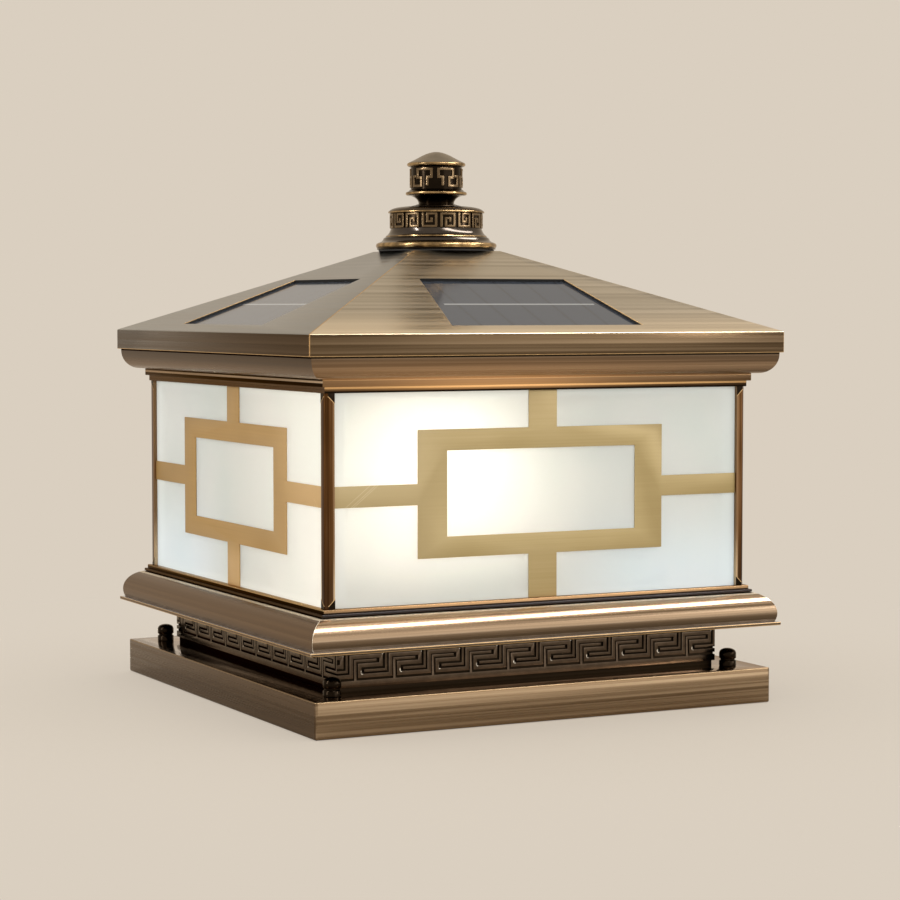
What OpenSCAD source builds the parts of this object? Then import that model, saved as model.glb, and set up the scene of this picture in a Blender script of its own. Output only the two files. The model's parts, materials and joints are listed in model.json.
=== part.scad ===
// Square solar lantern for the top of a gate pillar.
// Origin: middle of the plinth's underside. Z is up, and -Y is the front face.

/* [Plinth] */
// Width of the square plinth
plinth_w = 300; // [290:1:320]
// Height of the plinth
plinth_h = 21; // [20:0.5:26]
// Wall of the folded plinth tray
plinth_t = 2; // [1.2:0.1:2.5]

/* [Mounting plate] */
// Gap between the plate's edge and the plinth's wall
plate_gap = 3; // [2:0.5:5]
// Thickness of the plate that is bolted to the pillar
plate_t = 3; // [2:0.5:3.5]
// Distance between the anchor holes, both ways
anchor_spacing = 200; // [160:5:220]
// Radius of an anchor hole
anchor_r = 4.5; // [3:0.25:6]

/* [Corner nuts] */
// Distance from the plinth's side to the middle of a stud
stud_inset = 18.5; // [17:0.5:19]
// Radius of a stud's thread
stud_r = 3; // [2.5:0.25:3.5]
// Radius of the shoulder that the plinth rests on
shoulder_r = 5; // [4.5:0.25:6]
// Length of thread that a corner nut holds
nut_grip = 5; // [3:0.5:5.5]
// Radius of the corner nut
nut_r = 5.2; // [5:0.1:6.2]
// Height of the corner nut, with its dome
nut_h = 7.2; // [7:0.1:10]
// Height of the nut's dome
nut_dome_h = 1.8; // [1:0.1:1.8]
// Height of the loose collar under the nut
collar_h = 3.6; // [2.5:0.1:5]
// Radius of the loose collar
collar_r = 5.2; // [5:0.1:6.2]

/* [Skirt and key band] */
// Width of the skirt that carries the lantern
skirt_w = 249; // [244:1:252]
// Wall of the skirt
skirt_t = 1.5; // [1:0.1:3]
// Bare strip of skirt under the key band
bare_h = 3; // [2:0.25:5]
// Height of the key band
band_h = 23; // [22:0.25:26]
// Thickness of the key band's backing
band_t = 0.6; // [0.6:0.1:1.5]
// Height that the key stands out from its backing
relief = 0.8; // [0.5:0.1:1.5]
// Plain border along the band's lower edge
border_low = 3.7; // [3:0.1:4.2]
// Plain border along the band's upper edge
border_high = 2.6; // [1.5:0.1:3]
// Length of one key along the band
key_pitch = 24.5; // [23.5:0.25:27]
// Height of the key between the middles of its bars
key_rise = 11; // [10.6:0.1:11.4]
// From the middle of a side back to the nearest key's lower bar
key_back = 19; // [15:0.5:24]
// Width of the key's bar
key_bar = 2.2; // [1.8:0.05:2.3]
// Width of the hooks inside the key
hook_bar = 1.4; // [1:0.05:1.5]

/* [Sill moulding] */
// Height of the square lip at the sill's foot
lip_h = 2; // [1.8:0.1:3]
// Distance that the lip stands out past the bulge
lip_out = 1.5; // [1:0.1:4]
// Distance that the bulge stands out past the sill's top
bulge_out = 14; // [12:0.25:18]
// Height of the sill above its lip
sill_rise = 17.5; // [15:0.25:22]
// Height of the bulge from its widest place to its top
bulge_h = 12.5; // [11:0.25:14]
// Wall of the sill moulding
sill_t = 1.6; // [1:0.1:2]
// Width of the sill's inner flange inside the skirt
sill_flange = 7; // [5:0.5:10]

/* [Lantern frame] */
// Width across the outer faces of the corner posts
post_w = 277; // [268:1:280]
// Width of one face of a corner post
post_face = 6; // [6:0.25:8]
// Chamfer on the outer corner of a post
post_chamfer = 2; // [0.5:0.1:2]
// Height of the window between the rails
window_h = 120; // [100:1:140]
// Height of the lower rail
lower_rail_h = 4; // [3.5:0.1:6]
// Height of the upper rail under the flange
upper_rail_h = 3.5; // [3.5:0.1:6]
// Height of the flange that carries the roof
flange_h = 4.5; // [4.5:0.25:8]
// Depth of the rails, from the post's outer face inwards
rail_depth = 11.5; // [10:0.25:14]
// Wall of the beads that hold the glass from behind
bead_t = 1.5; // [1:0.1:2]
// Height of the beads that hold the glass from behind
bead_h = 5; // [3:0.25:8]
// Width of the post's fins behind the glass
fin_w = 8; // [6:0.25:12]

/* [Glass and fret] */
// Thickness of a frosted pane
glass_t = 3; // [2:0.25:3.5]
// Distance from the post's face back to the pane
glass_recess = 2.2; // [1.8:0.1:3]
// Depth of the groove that the pane's edge sits in
groove = 1.5; // [1:0.1:2]
// Thickness of the brass fret
fret_t = 0.8; // [0.4:0.1:1.2]
// Outer width of the fret's frame
fret_w = 161; // [140:1:180]
// Outer height of the fret's frame
fret_h = 73; // [60:1:84]
// Width of the fret's upright bars
fret_upright = 18.5; // [10:0.5:24]
// Width of the fret's level bars
fret_level = 12; // [8:0.5:16]
// Height of the fret's middle above the window's middle
fret_rise = 2; // [-4:0.5:4]

/* [Eave moulding] */
// Distance from the flange's face to the foot of the curve
ovolo_set = 3; // [1:0.25:4]
// Distance that the curve stands out
ovolo_out = 9; // [8:0.25:13]
// Height of the curve
ovolo_h = 11.5; // [9:0.25:14]
// Height of the plain strip over the curve
ovolo_strip = 1; // [0.5:0.1:2]
// Wall of the eave moulding
eave_t = 2; // [1:0.1:2.5]

/* [Roof] */
// Height of the roof's fascia
fascia_h = 12.5; // [12:0.25:16]
// Rise of the slopes from the fascia to the flat top
roof_rise = 49.2; // [42:0.5:56]
// Width of the flat square at the top of the roof
roof_top_w = 59; // [56:1:66]
// Thickness of the roof's sheet
roof_t = 2; // [1.2:0.1:2.4]
// Width of the hem turned in under the fascia
hem_w = 7; // [6:0.5:10]
// Thickness of the plate that closes the roof from below
floor_t = 1.5; // [1:0.1:2]

/* [Solar panels] */
// Distance up the slope from the eave to the window
window_up = 12.4; // [11:0.5:16]
// Length of the window along the slope
window_len = 73.5; // [60:0.5:78]
// Width of the window's lower edge
window_low_w = 124; // [100:1:140]
// Width of the window's upper edge
window_high_w = 98; // [80:1:104]
// Depth of the pocket that the panel sits in
pocket_depth = 4; // [3.5:0.1:5]
// Thickness of the solar panel
panel_t = 2.4; // [2:0.1:3]
// Wall of the pocket
pocket_t = 1.5; // [1:0.1:2]

/* [Finial] */
// Thickness of the gasket under the finial
gasket_t = 0.9; // [0.5:0.1:2]
// Radius of the finial's lip
finial_lip_r = 37.4; // [34:0.2:38]
// Height of the finial's base
finial_base_h = 26.9; // [25.5:0.1:30]
// Height of the lip and steps under the finial's lower band
finial_foot_h = 13; // [12:0.25:15]
// Radius of the key band round the base
finial_band_r = 29.4; // [27:0.2:31]
// Height of the knob on the base
knob_h = 33.9; // [31:0.1:38]
// Radius of the knob's bead
knob_bead_r = 18.8; // [16:0.2:21]
// Radius of the key band round the knob
knob_band_r = 16.9; // [14:0.2:17]
// Radius of the knob's cap
knob_cap_r = 18.1; // [17.2:0.1:19]
// Radius of the neck between base and knob
neck_r = 11; // [9:0.2:13]
// Radius of the thread under the finial
finial_stud_r = 4; // [3:0.25:4.5]
// Length of thread that the finial holds
finial_grip = 9.4; // [8:0.2:9.6]

/* [Cross bar] */
// Width of the bar under the roof
bar_w = 24; // [20:1:30]
// Thickness of the bar
bar_t = 4; // [3:0.25:4]

/* [Lamp] */
// Thickness of the lamp deck
deck_t = 2; // [1.5:0.1:3]
// Height of the lamp's column
column_h = 62; // [50:1:70]
// Radius of the lamp's column
column_r = 14; // [10:0.5:18]
// Radius of the light's diffuser
globe_r = 28; // [24:0.5:32]
// Wall of the diffuser
globe_t = 1.5; // [1:0.1:2.5]
// Radius of the board that carries the diodes
board_r = 21; // [18:0.5:22]
// Thickness of that board
board_t = 1.6; // [1:0.1:2.5]

/* [Battery and controller] */
// Length of one battery cell
cell_len = 65; // [50:1:70]
// Radius of one battery cell
cell_r = 9.2; // [7:0.1:10.5]
// Number of battery cells
cells = 4; // [2:1:6]
// Wall of the battery box
box_t = 2; // [1.5:0.1:3]
// Width of the controller's box
control_w = 70; // [50:1:80]
// Depth of the controller's box
control_d = 50; // [40:1:60]
// Height of the controller's box
control_h = 22; // [16:1:28]

/* [Switch] */
// Radius of the switch's barrel
barrel_r = 6; // [5.5:0.1:6.4]
// Radius of the switch's outer ring
ring_r = 7.8; // [7.4:0.1:8]
// Radius of the push button
button_r = 4; // [3:0.1:4.5]
// Distance that the button travels
button_travel = 1.5; // [1:0.1:1.8]

/* [Hidden] */

// Facets of round pieces, and steps of a moulding's curve
$fn = 64;
arc_steps = 14;
eps = 0.01;

// Clearances: a shaft that turns, a bolt in its hole, a piece set in place
run_gap = 0.05;
bolt_gap = 0.3;
set_gap = 0.2;

// Colours, as the photograph shows them
bronze = [0.52, 0.42, 0.31];
dark_bronze = [0.20, 0.15, 0.11];
brass_tone = [0.76, 0.62, 0.38];
frosted = [0.90, 0.92, 0.89];
cell_blue = [0.35, 0.37, 0.40];
steel_tone = [0.70, 0.71, 0.73];
white_tone = [0.93, 0.93, 0.91];
black_tone = [0.10, 0.10, 0.11];

// Places of the four sides and the four corners
FRONT = "front";
RIGHT = "right";
BACK = "back";
LEFT = "left";
SIDES = [FRONT, RIGHT, BACK, LEFT];
FRONT_LEFT = [-1, -1];
FRONT_RIGHT = [1, -1];
BACK_RIGHT = [1, 1];
BACK_LEFT = [-1, 1];

// Levels, from the pillar up
z_ledge = plinth_h;
z_band = z_ledge + bare_h;
z_lip = z_band + band_h;
z_sill = z_lip + lip_h + sill_rise;
z_glass = z_sill + lower_rail_h;
z_rail = z_glass + window_h;
z_flange = z_rail + upper_rail_h;
z_eave = z_flange + flange_h;
z_fascia = z_eave + ovolo_h + ovolo_strip;
z_slope = z_fascia + fascia_h;
z_top = z_slope + roof_rise;
z_finial = z_top + gasket_t;
z_knob = z_finial + finial_base_h;

// Half widths, from the middle out
plinth_hw = plinth_w / 2;
skirt_hw = skirt_w / 2;
post_hw = post_w / 2;
glass_hw = post_hw - glass_recess;
glass_back = glass_hw - glass_t;
pane_hw = post_hw - post_face - set_gap;
rail_in = post_hw - rail_depth;
lower_bead = post_hw + 3.5;
upper_bead = post_hw + 1.9;
upper_rail = post_hw + 0.5;
flange_hw = post_hw + 2.5;
sill_top = post_hw + 0.5;
sill_in = skirt_hw - sill_flange;
band_face = skirt_hw + band_t + relief;
eave_foot = flange_hw + ovolo_set;
eave_hw = eave_foot + ovolo_out;
eave_in = rail_in + 4;
roof_hw = eave_hw + roof_t;
roof_top = roof_top_w / 2;
roof_angle = atan(roof_rise / (roof_hw - roof_top));
roof_drop = roof_t / cos(roof_angle);

// The corner studs, from the plate up through the plinth, the collar and the nut
stud_hw = plinth_hw - stud_inset;
z_nut = z_ledge + collar_h;
stud_top = z_nut + nut_grip;
nut_neck_h = 0.8;
nut_neck_r = nut_r - 0.7;
nut_bore_top = 0.3;

// The finial's stud, from the cross bar up into the finial's base
bar_z = z_flange + 0.5;
stud_flange_r = 9;
stud_flange_h = 3;
stud_tail = 3;
finial_stud_top = z_finial + finial_grip;
spigot_r = 6;
spigot_h = 8;

// The deck, the lamp and the boxes under the deck
deck_hw = rail_in - 0.5;
z_deck = z_sill + deck_t;
foot_r = 24;
foot_h = 2.5;
z_board = z_deck + column_h;
globe_mouth = board_r + set_gap + globe_t;
z_globe = z_board + sqrt(globe_r * globe_r - globe_mouth * globe_mouth);
screw_r = 2;
screw_head_r = 4;
screw_head_h = 2.2;
screw_place = (sill_in + deck_hw) / 2;
cell_step = 2 * cell_r + 1;
battery_l = cell_len + 2 * set_gap + 2 * box_t;
battery_w = cells * cell_step + 2 * box_t;
battery_h = 2 * cell_r + 3 * box_t;
battery_x = -50;
control_x = 55;

// The switch in the rear wall of the plinth
switch_z = (plate_t + plinth_h - plinth_t) / 2;
barrel_len = 14;
ring_t = 1.5;
lock_nut_r = 7.2;
lock_nut_t = 3;
button_len = 10;
button_proud = button_travel + 0.8;

// The key: the middle of its lower bar, and the first key's place
key_low = border_low + 2.5;
first_key = -key_back - 5 * key_pitch;
keys = 12;

// A path made thick: points beside it, at each corner, at half the bar's width
function turned(v) = [-v[1], v[0]];
function heading(p, i) = (p[i + 1] - p[i]) / norm(p[i + 1] - p[i]);
function offset_at(p, i) =
    i == 0 ? turned(heading(p, 0)) :
    i == len(p) - 1 ? turned(heading(p, i - 1)) :
    turned(heading(p, i - 1)) + turned(heading(p, i));
function beside(p, d) = [for (i = [0 : len(p) - 1]) p[i] + offset_at(p, i) * d];
function backwards(p) = [for (i = [len(p) - 1 : -1 : 0]) p[i]];

// Points of an ellipse's arc about a centre, from one angle to another
function arc(c, a, b, from, to) =
    [for (i = [0 : arc_steps]) let (t = from + (to - from) * i / arc_steps)
        [c[0] + a * cos(t), c[1] + b * sin(t)]];

module ribbon(path, bar) {
    polygon(concat(beside(path, bar / 2), backwards(beside(path, -bar / 2))));
}

// A flat square ring, given by half widths
module square_ring(outer, inner, z, h) {
    translate([0, 0, z])
    linear_extrude(h)
    difference() {
        square(2 * outer, center = true);
        square(2 * inner, center = true);
    }
}

// Turns a piece that is drawn for the front face to another side
module on_side(side) {
    rotate([0, 0, 90 * search([side], SIDES)[0]]) children();
}

// The quarter of space that belongs to the front face, cut at the mitres
module front_quarter() {
    far = 1.5 * plinth_w;
    translate([0, 0, -far])
    linear_extrude(3 * far)
    polygon([[0, 0], [far, -far], [-far, -far]]);
}

// A moulding along the front face: its section is drawn as [distance out, height]
module front_length(half) {
    translate([-half, 0, 0])
    rotate([90, 0, 90])
    linear_extrude(2 * half)
    mirror([1, 0])
    children();
}

module mitred_length(half) {
    intersection() {
        front_length(half) children();
        front_quarter();
    }
}

// Lays a piece on the roof's front slope: X along the eave, Y up the slope, Z outwards
module on_slope() {
    translate([0, -roof_hw, z_slope]) rotate([roof_angle, 0, 0]) children();
}

// The outline of the solar window, grown by a margin
module window_outline(grow) {
    low = window_low_w / 2 + grow;
    high = window_high_w / 2 + grow;
    polygon([[-low, window_up - grow], [low, window_up - grow],
        [high, window_up + window_len + grow], [-high, window_up + window_len + grow]]);
}

module at_corner(corner) {
    translate([corner[0] * stud_hw, corner[1] * stud_hw, 0]) children();
}

module at_corners() {
    for (corner = [FRONT_LEFT, FRONT_RIGHT, BACK_RIGHT, BACK_LEFT]) at_corner(corner) children();
}

module mounting_plate() {
    half = plinth_hw - plinth_t - plate_gap;
    color(steel_tone)
    difference() {
        translate([-half, -half, 0]) cube([2 * half, 2 * half, plate_t]);
        for (x = [-1, 1], y = [-1, 1])
            translate([x, y, 0] * anchor_spacing / 2 + [0, 0, -1]) cylinder(r = anchor_r, h = plate_t + 2);
        at_corners() translate([0, 0, -1]) cylinder(r = stud_r + run_gap, h = plate_t + 2);
    }
}

module anchor_studs() {
    color(steel_tone)
    at_corners() {
        cylinder(r = stud_r, h = stud_top);
        translate([0, 0, plate_t]) cylinder(r = shoulder_r, h = z_ledge - plinth_t - plate_t);
    }
}

module plinth() {
    inner = plinth_hw - plinth_t;
    color(bronze)
    difference() {
        translate([-plinth_hw, -plinth_hw, 0]) cube([plinth_w, plinth_w, plinth_h]);
        translate([-inner, -inner, -1]) cube([2 * inner, 2 * inner, plinth_h - plinth_t + 1]);
        at_corners() cylinder(r = stud_r + bolt_gap, h = plinth_h + 1);
        translate([0, inner - 1, switch_z]) rotate([-90, 0, 0]) cylinder(r = barrel_r + run_gap, h = plinth_t + 2);
    }
}

module collar(corner) {
    color(dark_bronze)
    at_corner(corner)
    translate([0, 0, z_ledge])
    difference() {
        cylinder(r = collar_r, h = collar_h);
        translate([0, 0, -1]) cylinder(r = stud_r + bolt_gap, h = collar_h + 2);
    }
}

// The nut's half section: a neck, a drum and a dome
module nut_section() {
    shoulder = nut_h - nut_dome_h;
    polygon(concat(
        [[0, 0], [nut_neck_r, 0], [nut_neck_r, nut_neck_h], [nut_r, nut_neck_h + 0.4]],
        arc([0, shoulder], nut_r, nut_dome_h, 0, 90)));
}

module nut(corner) {
    color(dark_bronze)
    at_corner(corner)
    translate([0, 0, z_nut])
    difference() {
        rotate_extrude() nut_section();
        translate([0, 0, -1]) cylinder(r = stud_r + run_gap, h = nut_grip + nut_bore_top + 1);
    }
}

module skirt() {
    color(bronze) square_ring(skirt_hw, skirt_hw - skirt_t, z_ledge, z_sill - sill_t - z_ledge);
}

// One running key, from the end of its lower bar to the start of the next
function key_path(x, y) = [
    [x, y], [x, y + key_rise],
    [x + 0.755 * key_pitch, y + key_rise], [x + 0.755 * key_pitch, y + 0.54 * key_rise],
    [x + 0.212 * key_pitch, y + 0.54 * key_rise], [x + 0.212 * key_pitch, y]];

module key_relief() {
    y0 = key_low;
    field_top = band_h - border_high;
    path = [for (k = [0 : keys - 1]) each key_path(first_key + k * key_pitch, y0)];
    ribbon(path, key_bar);
    for (k = [0 : keys - 1]) {
        x = first_key + k * key_pitch;
        ribbon([[x + 0.1 * key_pitch, border_low - eps], [x + 0.1 * key_pitch, y0 + 0.78 * key_rise],
            [x + 0.64 * key_pitch, y0 + 0.78 * key_rise]], hook_bar);
        ribbon([[x + 0.885 * key_pitch, field_top + eps], [x + 0.885 * key_pitch, y0 + 0.26 * key_rise],
            [x + 0.325 * key_pitch, y0 + 0.26 * key_rise]], hook_bar);
    }
    translate([-band_face, 0]) square([2 * band_face, border_low]);
    translate([-band_face, field_top]) square([2 * band_face, border_high]);
}

module key_band(side) {
    color(dark_bronze)
    on_side(side)
    intersection() {
        translate([0, -skirt_hw, z_band])
        rotate([90, 0, 0])
        union() {
            linear_extrude(band_t) translate([-band_face, 0]) square([2 * band_face, band_h]);
            linear_extrude(band_t + relief)
            intersection() {
                key_relief();
                translate([-band_face, 0]) square([2 * band_face, band_h]);
            }
        }
        front_quarter();
    }
}

// The sill's section: lip, bulge and a flange that lies on the skirt
module sill_section() {
    bulge_z = z_sill - bulge_h;
    lip_z = z_lip + lip_h;
    foot = asin((bulge_z - lip_z) / bulge_h);
    inner_foot = asin((bulge_z - z_lip - sill_t) / (bulge_h - sill_t));
    lip_hw = sill_top + bulge_out + lip_out;
    polygon(concat(
        [[sill_in, z_sill]],
        arc([sill_top, bulge_z], bulge_out, bulge_h, 90, -foot),
        [[lip_hw, lip_z], [lip_hw, z_lip], [band_face + set_gap, z_lip], [band_face + set_gap, z_lip + sill_t]],
        arc([sill_top, bulge_z], bulge_out - sill_t, bulge_h - sill_t, -inner_foot, 90),
        [[sill_in, z_sill - sill_t]]));
}

module sill(side) {
    color(bronze)
    on_side(side)
    difference() {
        mitred_length(sill_top + bulge_out + lip_out) sill_section();
        translate([0, -screw_place, z_sill - sill_t - 1]) cylinder(r = screw_r + run_gap, h = sill_t + 2);
    }
}

// Beads that stand behind the panes, between the fins of the posts
module glass_beads(z) {
    half = post_hw - post_face - fin_w - set_gap;
    for (side = SIDES) on_side(side)
        translate([-half, -glass_back, z]) cube([2 * half, bead_t, bead_h + eps]);
}

module lower_frame() {
    step = lower_rail_h * 0.4;
    seat = z_glass - groove;
    color(bronze)
    union() {
        square_ring(lower_bead, rail_in, z_sill, step);
        square_ring(upper_bead, rail_in, z_sill + step, seat - z_sill - step);
        square_ring(upper_bead, glass_hw + set_gap, seat, groove);
        glass_beads(seat - eps);
    }
}

module upper_frame() {
    seat = z_rail + groove;
    color(bronze)
    union() {
        square_ring(upper_rail, glass_hw + set_gap, z_rail, groove);
        square_ring(upper_rail, rail_in, seat, z_flange - seat);
        square_ring(flange_hw, rail_in, z_flange, flange_h);
        glass_beads(seat - bead_h);
    }
}

// A post's section: a square bar with a chamfer, and a fin behind each pane
module post_section() {
    inner = post_hw - post_face;
    polygon([[post_hw - post_chamfer, post_hw], [post_hw, post_hw - post_chamfer], [post_hw, inner],
        [glass_back, inner], [glass_back, inner - fin_w], [glass_back - bead_t, inner - fin_w],
        [glass_back - bead_t, glass_back - bead_t], [inner - fin_w, glass_back - bead_t],
        [inner - fin_w, glass_back], [inner, glass_back], [inner, post_hw]]);
}

module post(corner) {
    color(dark_bronze)
    mirror([corner[0] < 0 ? 1 : 0, 0, 0])
    mirror([0, corner[1] < 0 ? 1 : 0, 0])
    translate([0, 0, z_glass])
    linear_extrude(window_h)
    post_section();
}

module glass(side) {
    color(frosted, 0.6)
    on_side(side)
    translate([-pane_hw, -glass_hw, z_glass - groove])
    cube([2 * pane_hw, glass_t, window_h + 2 * groove]);
}

// The fret: an open frame, held by a bar to each of the four sides of the window
module fret_outline() {
    middle = window_h / 2 + fret_rise;
    inner_w = fret_w - 2 * fret_upright;
    inner_h = fret_h - 2 * fret_level;
    difference() {
        union() {
            translate([-fret_w / 2, middle - fret_h / 2]) square([fret_w, fret_h]);
            translate([-pane_hw, middle - fret_level / 2]) square([2 * pane_hw, fret_level]);
            translate([-fret_upright / 2, 0]) square([fret_upright, window_h]);
        }
        translate([-inner_w / 2, middle - inner_h / 2]) square([inner_w, inner_h]);
    }
}

module fret(side) {
    color(brass_tone)
    on_side(side)
    translate([0, -glass_hw, z_glass])
    rotate([90, 0, 0])
    linear_extrude(fret_t)
    fret_outline();
}

module screw_places() {
    for (side = SIDES) on_side(side) translate([0, -screw_place, 0]) children();
}

module lamp_deck() {
    color(white_tone)
    difference() {
        translate([-deck_hw, -deck_hw, z_sill]) cube([2 * deck_hw, 2 * deck_hw, deck_t]);
        screw_places() translate([0, 0, z_sill - 1]) cylinder(r = screw_r + run_gap, h = deck_t + 2);
    }
}

module deck_screws() {
    color(steel_tone)
    screw_places() {
        translate([0, 0, z_sill - sill_t + set_gap]) cylinder(r = screw_r, h = sill_t - set_gap + deck_t + eps);
        translate([0, 0, z_deck]) cylinder(r = screw_head_r, h = screw_head_h);
    }
}

module lamp_column() {
    color(steel_tone)
    union() {
        translate([0, 0, z_deck]) cylinder(r = foot_r, h = foot_h);
        translate([0, 0, z_deck]) cylinder(r = column_r, h = column_h - 3);
        translate([0, 0, z_board - 3]) cylinder(r = globe_mouth, h = 3);
    }
}

module led_board() {
    chip = 3;
    color(white_tone)
    union() {
        translate([0, 0, z_board]) cylinder(r = board_r, h = board_t);
        for (i = [0 : 7]) rotate([0, 0, 45 * i])
            translate([board_r * 0.66 - chip / 2, -chip / 2, z_board + board_t - eps]) cube([chip, chip, 1]);
    }
}

// The diffuser: a hollow ball, open where it stands on the column
module lamp_diffuser() {
    color(white_tone, 0.7)
    difference() {
        translate([0, 0, z_globe]) sphere(r = globe_r);
        translate([0, 0, z_globe]) sphere(r = globe_r - globe_t);
        translate([0, 0, z_board - globe_r]) cylinder(r = globe_r + 1, h = globe_r);
        translate([0, 0, z_board - 1]) cylinder(r = board_r + set_gap, h = board_t + 3);
    }
}

module battery_box() {
    color(black_tone)
    translate([battery_x - battery_l / 2, -battery_w / 2, z_sill - battery_h])
    difference() {
        cube([battery_l, battery_w, battery_h]);
        translate([box_t, box_t, box_t]) cube([battery_l - 2 * box_t, battery_w - 2 * box_t, battery_h]);
    }
}

module battery_cells() {
    color("seagreen")
    for (i = [0 : cells - 1])
        translate([battery_x - cell_len / 2, (i - (cells - 1) / 2) * cell_step, z_sill - battery_h + box_t + cell_r])
        rotate([0, 90, 0])
        cylinder(r = cell_r, h = cell_len);
}

module controller_box() {
    color(black_tone)
    translate([control_x - control_w / 2, -control_d / 2, z_sill - control_h])
    difference() {
        cube([control_w, control_d, control_h]);
        translate([box_t, box_t, box_t])
            cube([control_w - 2 * box_t, control_d - 2 * box_t, control_h]);
    }
}

// Puts a piece on the switch's axis: Z points in from the plinth's rear face
module on_switch() {
    translate([0, plinth_hw, switch_z]) rotate([90, 0, 0]) children();
}

module switch_body() {
    color(black_tone)
    on_switch()
    difference() {
        union() {
            translate([0, 0, -ring_t]) cylinder(r = ring_r, h = ring_t);
            cylinder(r = barrel_r, h = barrel_len);
            translate([0, 0, plinth_t]) cylinder(r = lock_nut_r, h = lock_nut_t);
        }
        translate([0, 0, -ring_t - 1]) cylinder(r = button_r + run_gap, h = button_len + button_travel + 2);
    }
}

module push_button() {
    color(white_tone)
    on_switch()
    translate([0, 0, -ring_t - button_proud])
    cylinder(r = button_r, h = button_len);
}

module cross_bar() {
    color(steel_tone)
    difference() {
        translate([-rail_in, -bar_w / 2, bar_z]) cube([2 * rail_in, bar_w, bar_t]);
        translate([0, 0, bar_z - 1]) cylinder(r = finial_stud_r + run_gap, h = bar_t + 2);
    }
}

module finial_stud() {
    color(steel_tone)
    union() {
        translate([0, 0, bar_z - stud_tail]) cylinder(r = finial_stud_r, h = finial_stud_top - bar_z + stud_tail);
        translate([0, 0, bar_z + bar_t]) cylinder(r = stud_flange_r, h = stud_flange_h);
    }
}

// The eave moulding's section: a flange on the frame, a hollow curve and a strip
module eave_section() {
    curve_z = z_eave + ovolo_h;
    polygon(concat(
        [[eave_in, z_eave]],
        arc([eave_foot, curve_z], ovolo_out, ovolo_h, -90, 0),
        [[eave_hw, z_fascia], [eave_hw - eave_t, z_fascia]],
        arc([eave_foot, curve_z], ovolo_out - eave_t, ovolo_h - eave_t, 0, -90),
        [[eave_in, z_eave + eave_t]]));
}

module eave_moulding() {
    color(bronze)
    union() for (side = SIDES) on_side(side) mitred_length(eave_hw + 1) eave_section();
}

module roof_floor() {
    half = eave_hw - set_gap;
    color(white_tone)
    difference() {
        translate([-half, -half, z_fascia + roof_t]) cube([2 * half, 2 * half, floor_t]);
        translate([0, 0, z_fascia]) cylinder(r = finial_stud_r + bolt_gap, h = fascia_h);
    }
}

module roof_cap() {
    color(bronze)
    difference() {
        translate([-roof_top, -roof_top, z_top - roof_t]) cube([roof_top_w, roof_top_w, roof_t]);
        translate([0, 0, z_top - roof_t - 1]) cylinder(r = finial_stud_r + bolt_gap, h = roof_t + 2);
    }
}

// A roof panel's section: hem, fascia and slope from one folded sheet
module roof_section() {
    fold_z = z_slope + roof_t * tan(roof_angle) - roof_drop;
    polygon([[roof_hw - hem_w, z_fascia], [roof_hw, z_fascia], [roof_hw, z_slope], [roof_top, z_top],
        [roof_top, z_top - roof_drop], [eave_hw, fold_z], [eave_hw, z_fascia + roof_t],
        [roof_hw - hem_w, z_fascia + roof_t]]);
}

module roof_panel(side) {
    color(bronze)
    on_side(side)
    difference() {
        union() {
            mitred_length(roof_hw) roof_section();
            on_slope() translate([0, 0, -pocket_depth - pocket_t])
                linear_extrude(pocket_depth + pocket_t - roof_t / 2) window_outline(pocket_t);
        }
        on_slope() translate([0, 0, -pocket_depth]) linear_extrude(pocket_depth + 1) window_outline(0);
    }
}

module solar_panel(side) {
    color(cell_blue)
    on_side(side)
    on_slope()
    translate([0, 0, -pocket_depth])
    linear_extrude(panel_t)
    window_outline(-set_gap);
}

module finial_gasket() {
    color(black_tone)
    difference() {
        translate([0, 0, z_top]) cylinder(r = finial_lip_r - 1.4, h = gasket_t);
        translate([0, 0, z_top - 1]) cylinder(r = finial_stud_r + bolt_gap, h = gasket_t + 2);
    }
}

// The base's half section: a lip, two steps, a band and a low dome
module finial_base_section() {
    top = finial_base_h;
    foot = finial_foot_h;
    polygon(concat(
        [[0, 0], [finial_lip_r - 0.9, 0], [finial_lip_r, 0.14 * foot], [finial_lip_r, 0.34 * foot],
        [finial_band_r + 3.6, 0.49 * foot], [finial_band_r + 3.6, 0.65 * foot],
        [finial_band_r + 0.8, 0.75 * foot], [finial_band_r + 0.8, 0.94 * foot],
        [finial_band_r, foot], [finial_band_r, top - 4.4], [finial_band_r + 0.6, top - 4.2],
        [finial_band_r + 0.6, top - 3.2]],
        arc([neck_r + 5, top - 3.2], finial_band_r - neck_r - 5, 3.2, 0, 90),
        [[0, top]]));
}

module finial_base() {
    color(dark_bronze)
    translate([0, 0, z_finial])
    difference() {
        rotate_extrude() finial_base_section();
        translate([0, 0, -1]) cylinder(r = finial_stud_r + run_gap, h = finial_grip + 3);
        translate([0, 0, finial_base_h - spigot_h]) cylinder(r = spigot_r + run_gap, h = spigot_h + 1);
    }
}

// The knob's half section: a flared neck, a bead, a band and a low cap
module knob_section() {
    bead_z = 7.8;
    cap_z = knob_h - 6;
    polygon(concat(
        [[0, 0], [neck_r, 0]],
        arc([knob_bead_r, 0.5], knob_bead_r - neck_r, bead_z - 1.5, 180, 90),
        [[knob_bead_r + 0.4, bead_z - 0.4], [knob_bead_r + 0.4, bead_z + 0.6],
        [knob_band_r, bead_z + 2.6], [knob_band_r, cap_z - 3], [knob_cap_r, cap_z - 1.4], [knob_cap_r, cap_z]],
        arc([0, cap_z], knob_cap_r, 6, 10, 90)));
}

module finial_knob() {
    color(dark_bronze)
    translate([0, 0, z_knob])
    union() {
        rotate_extrude() knob_section();
        translate([0, 0, -spigot_h]) cylinder(r = spigot_r, h = spigot_h + 1);
    }
}

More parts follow.
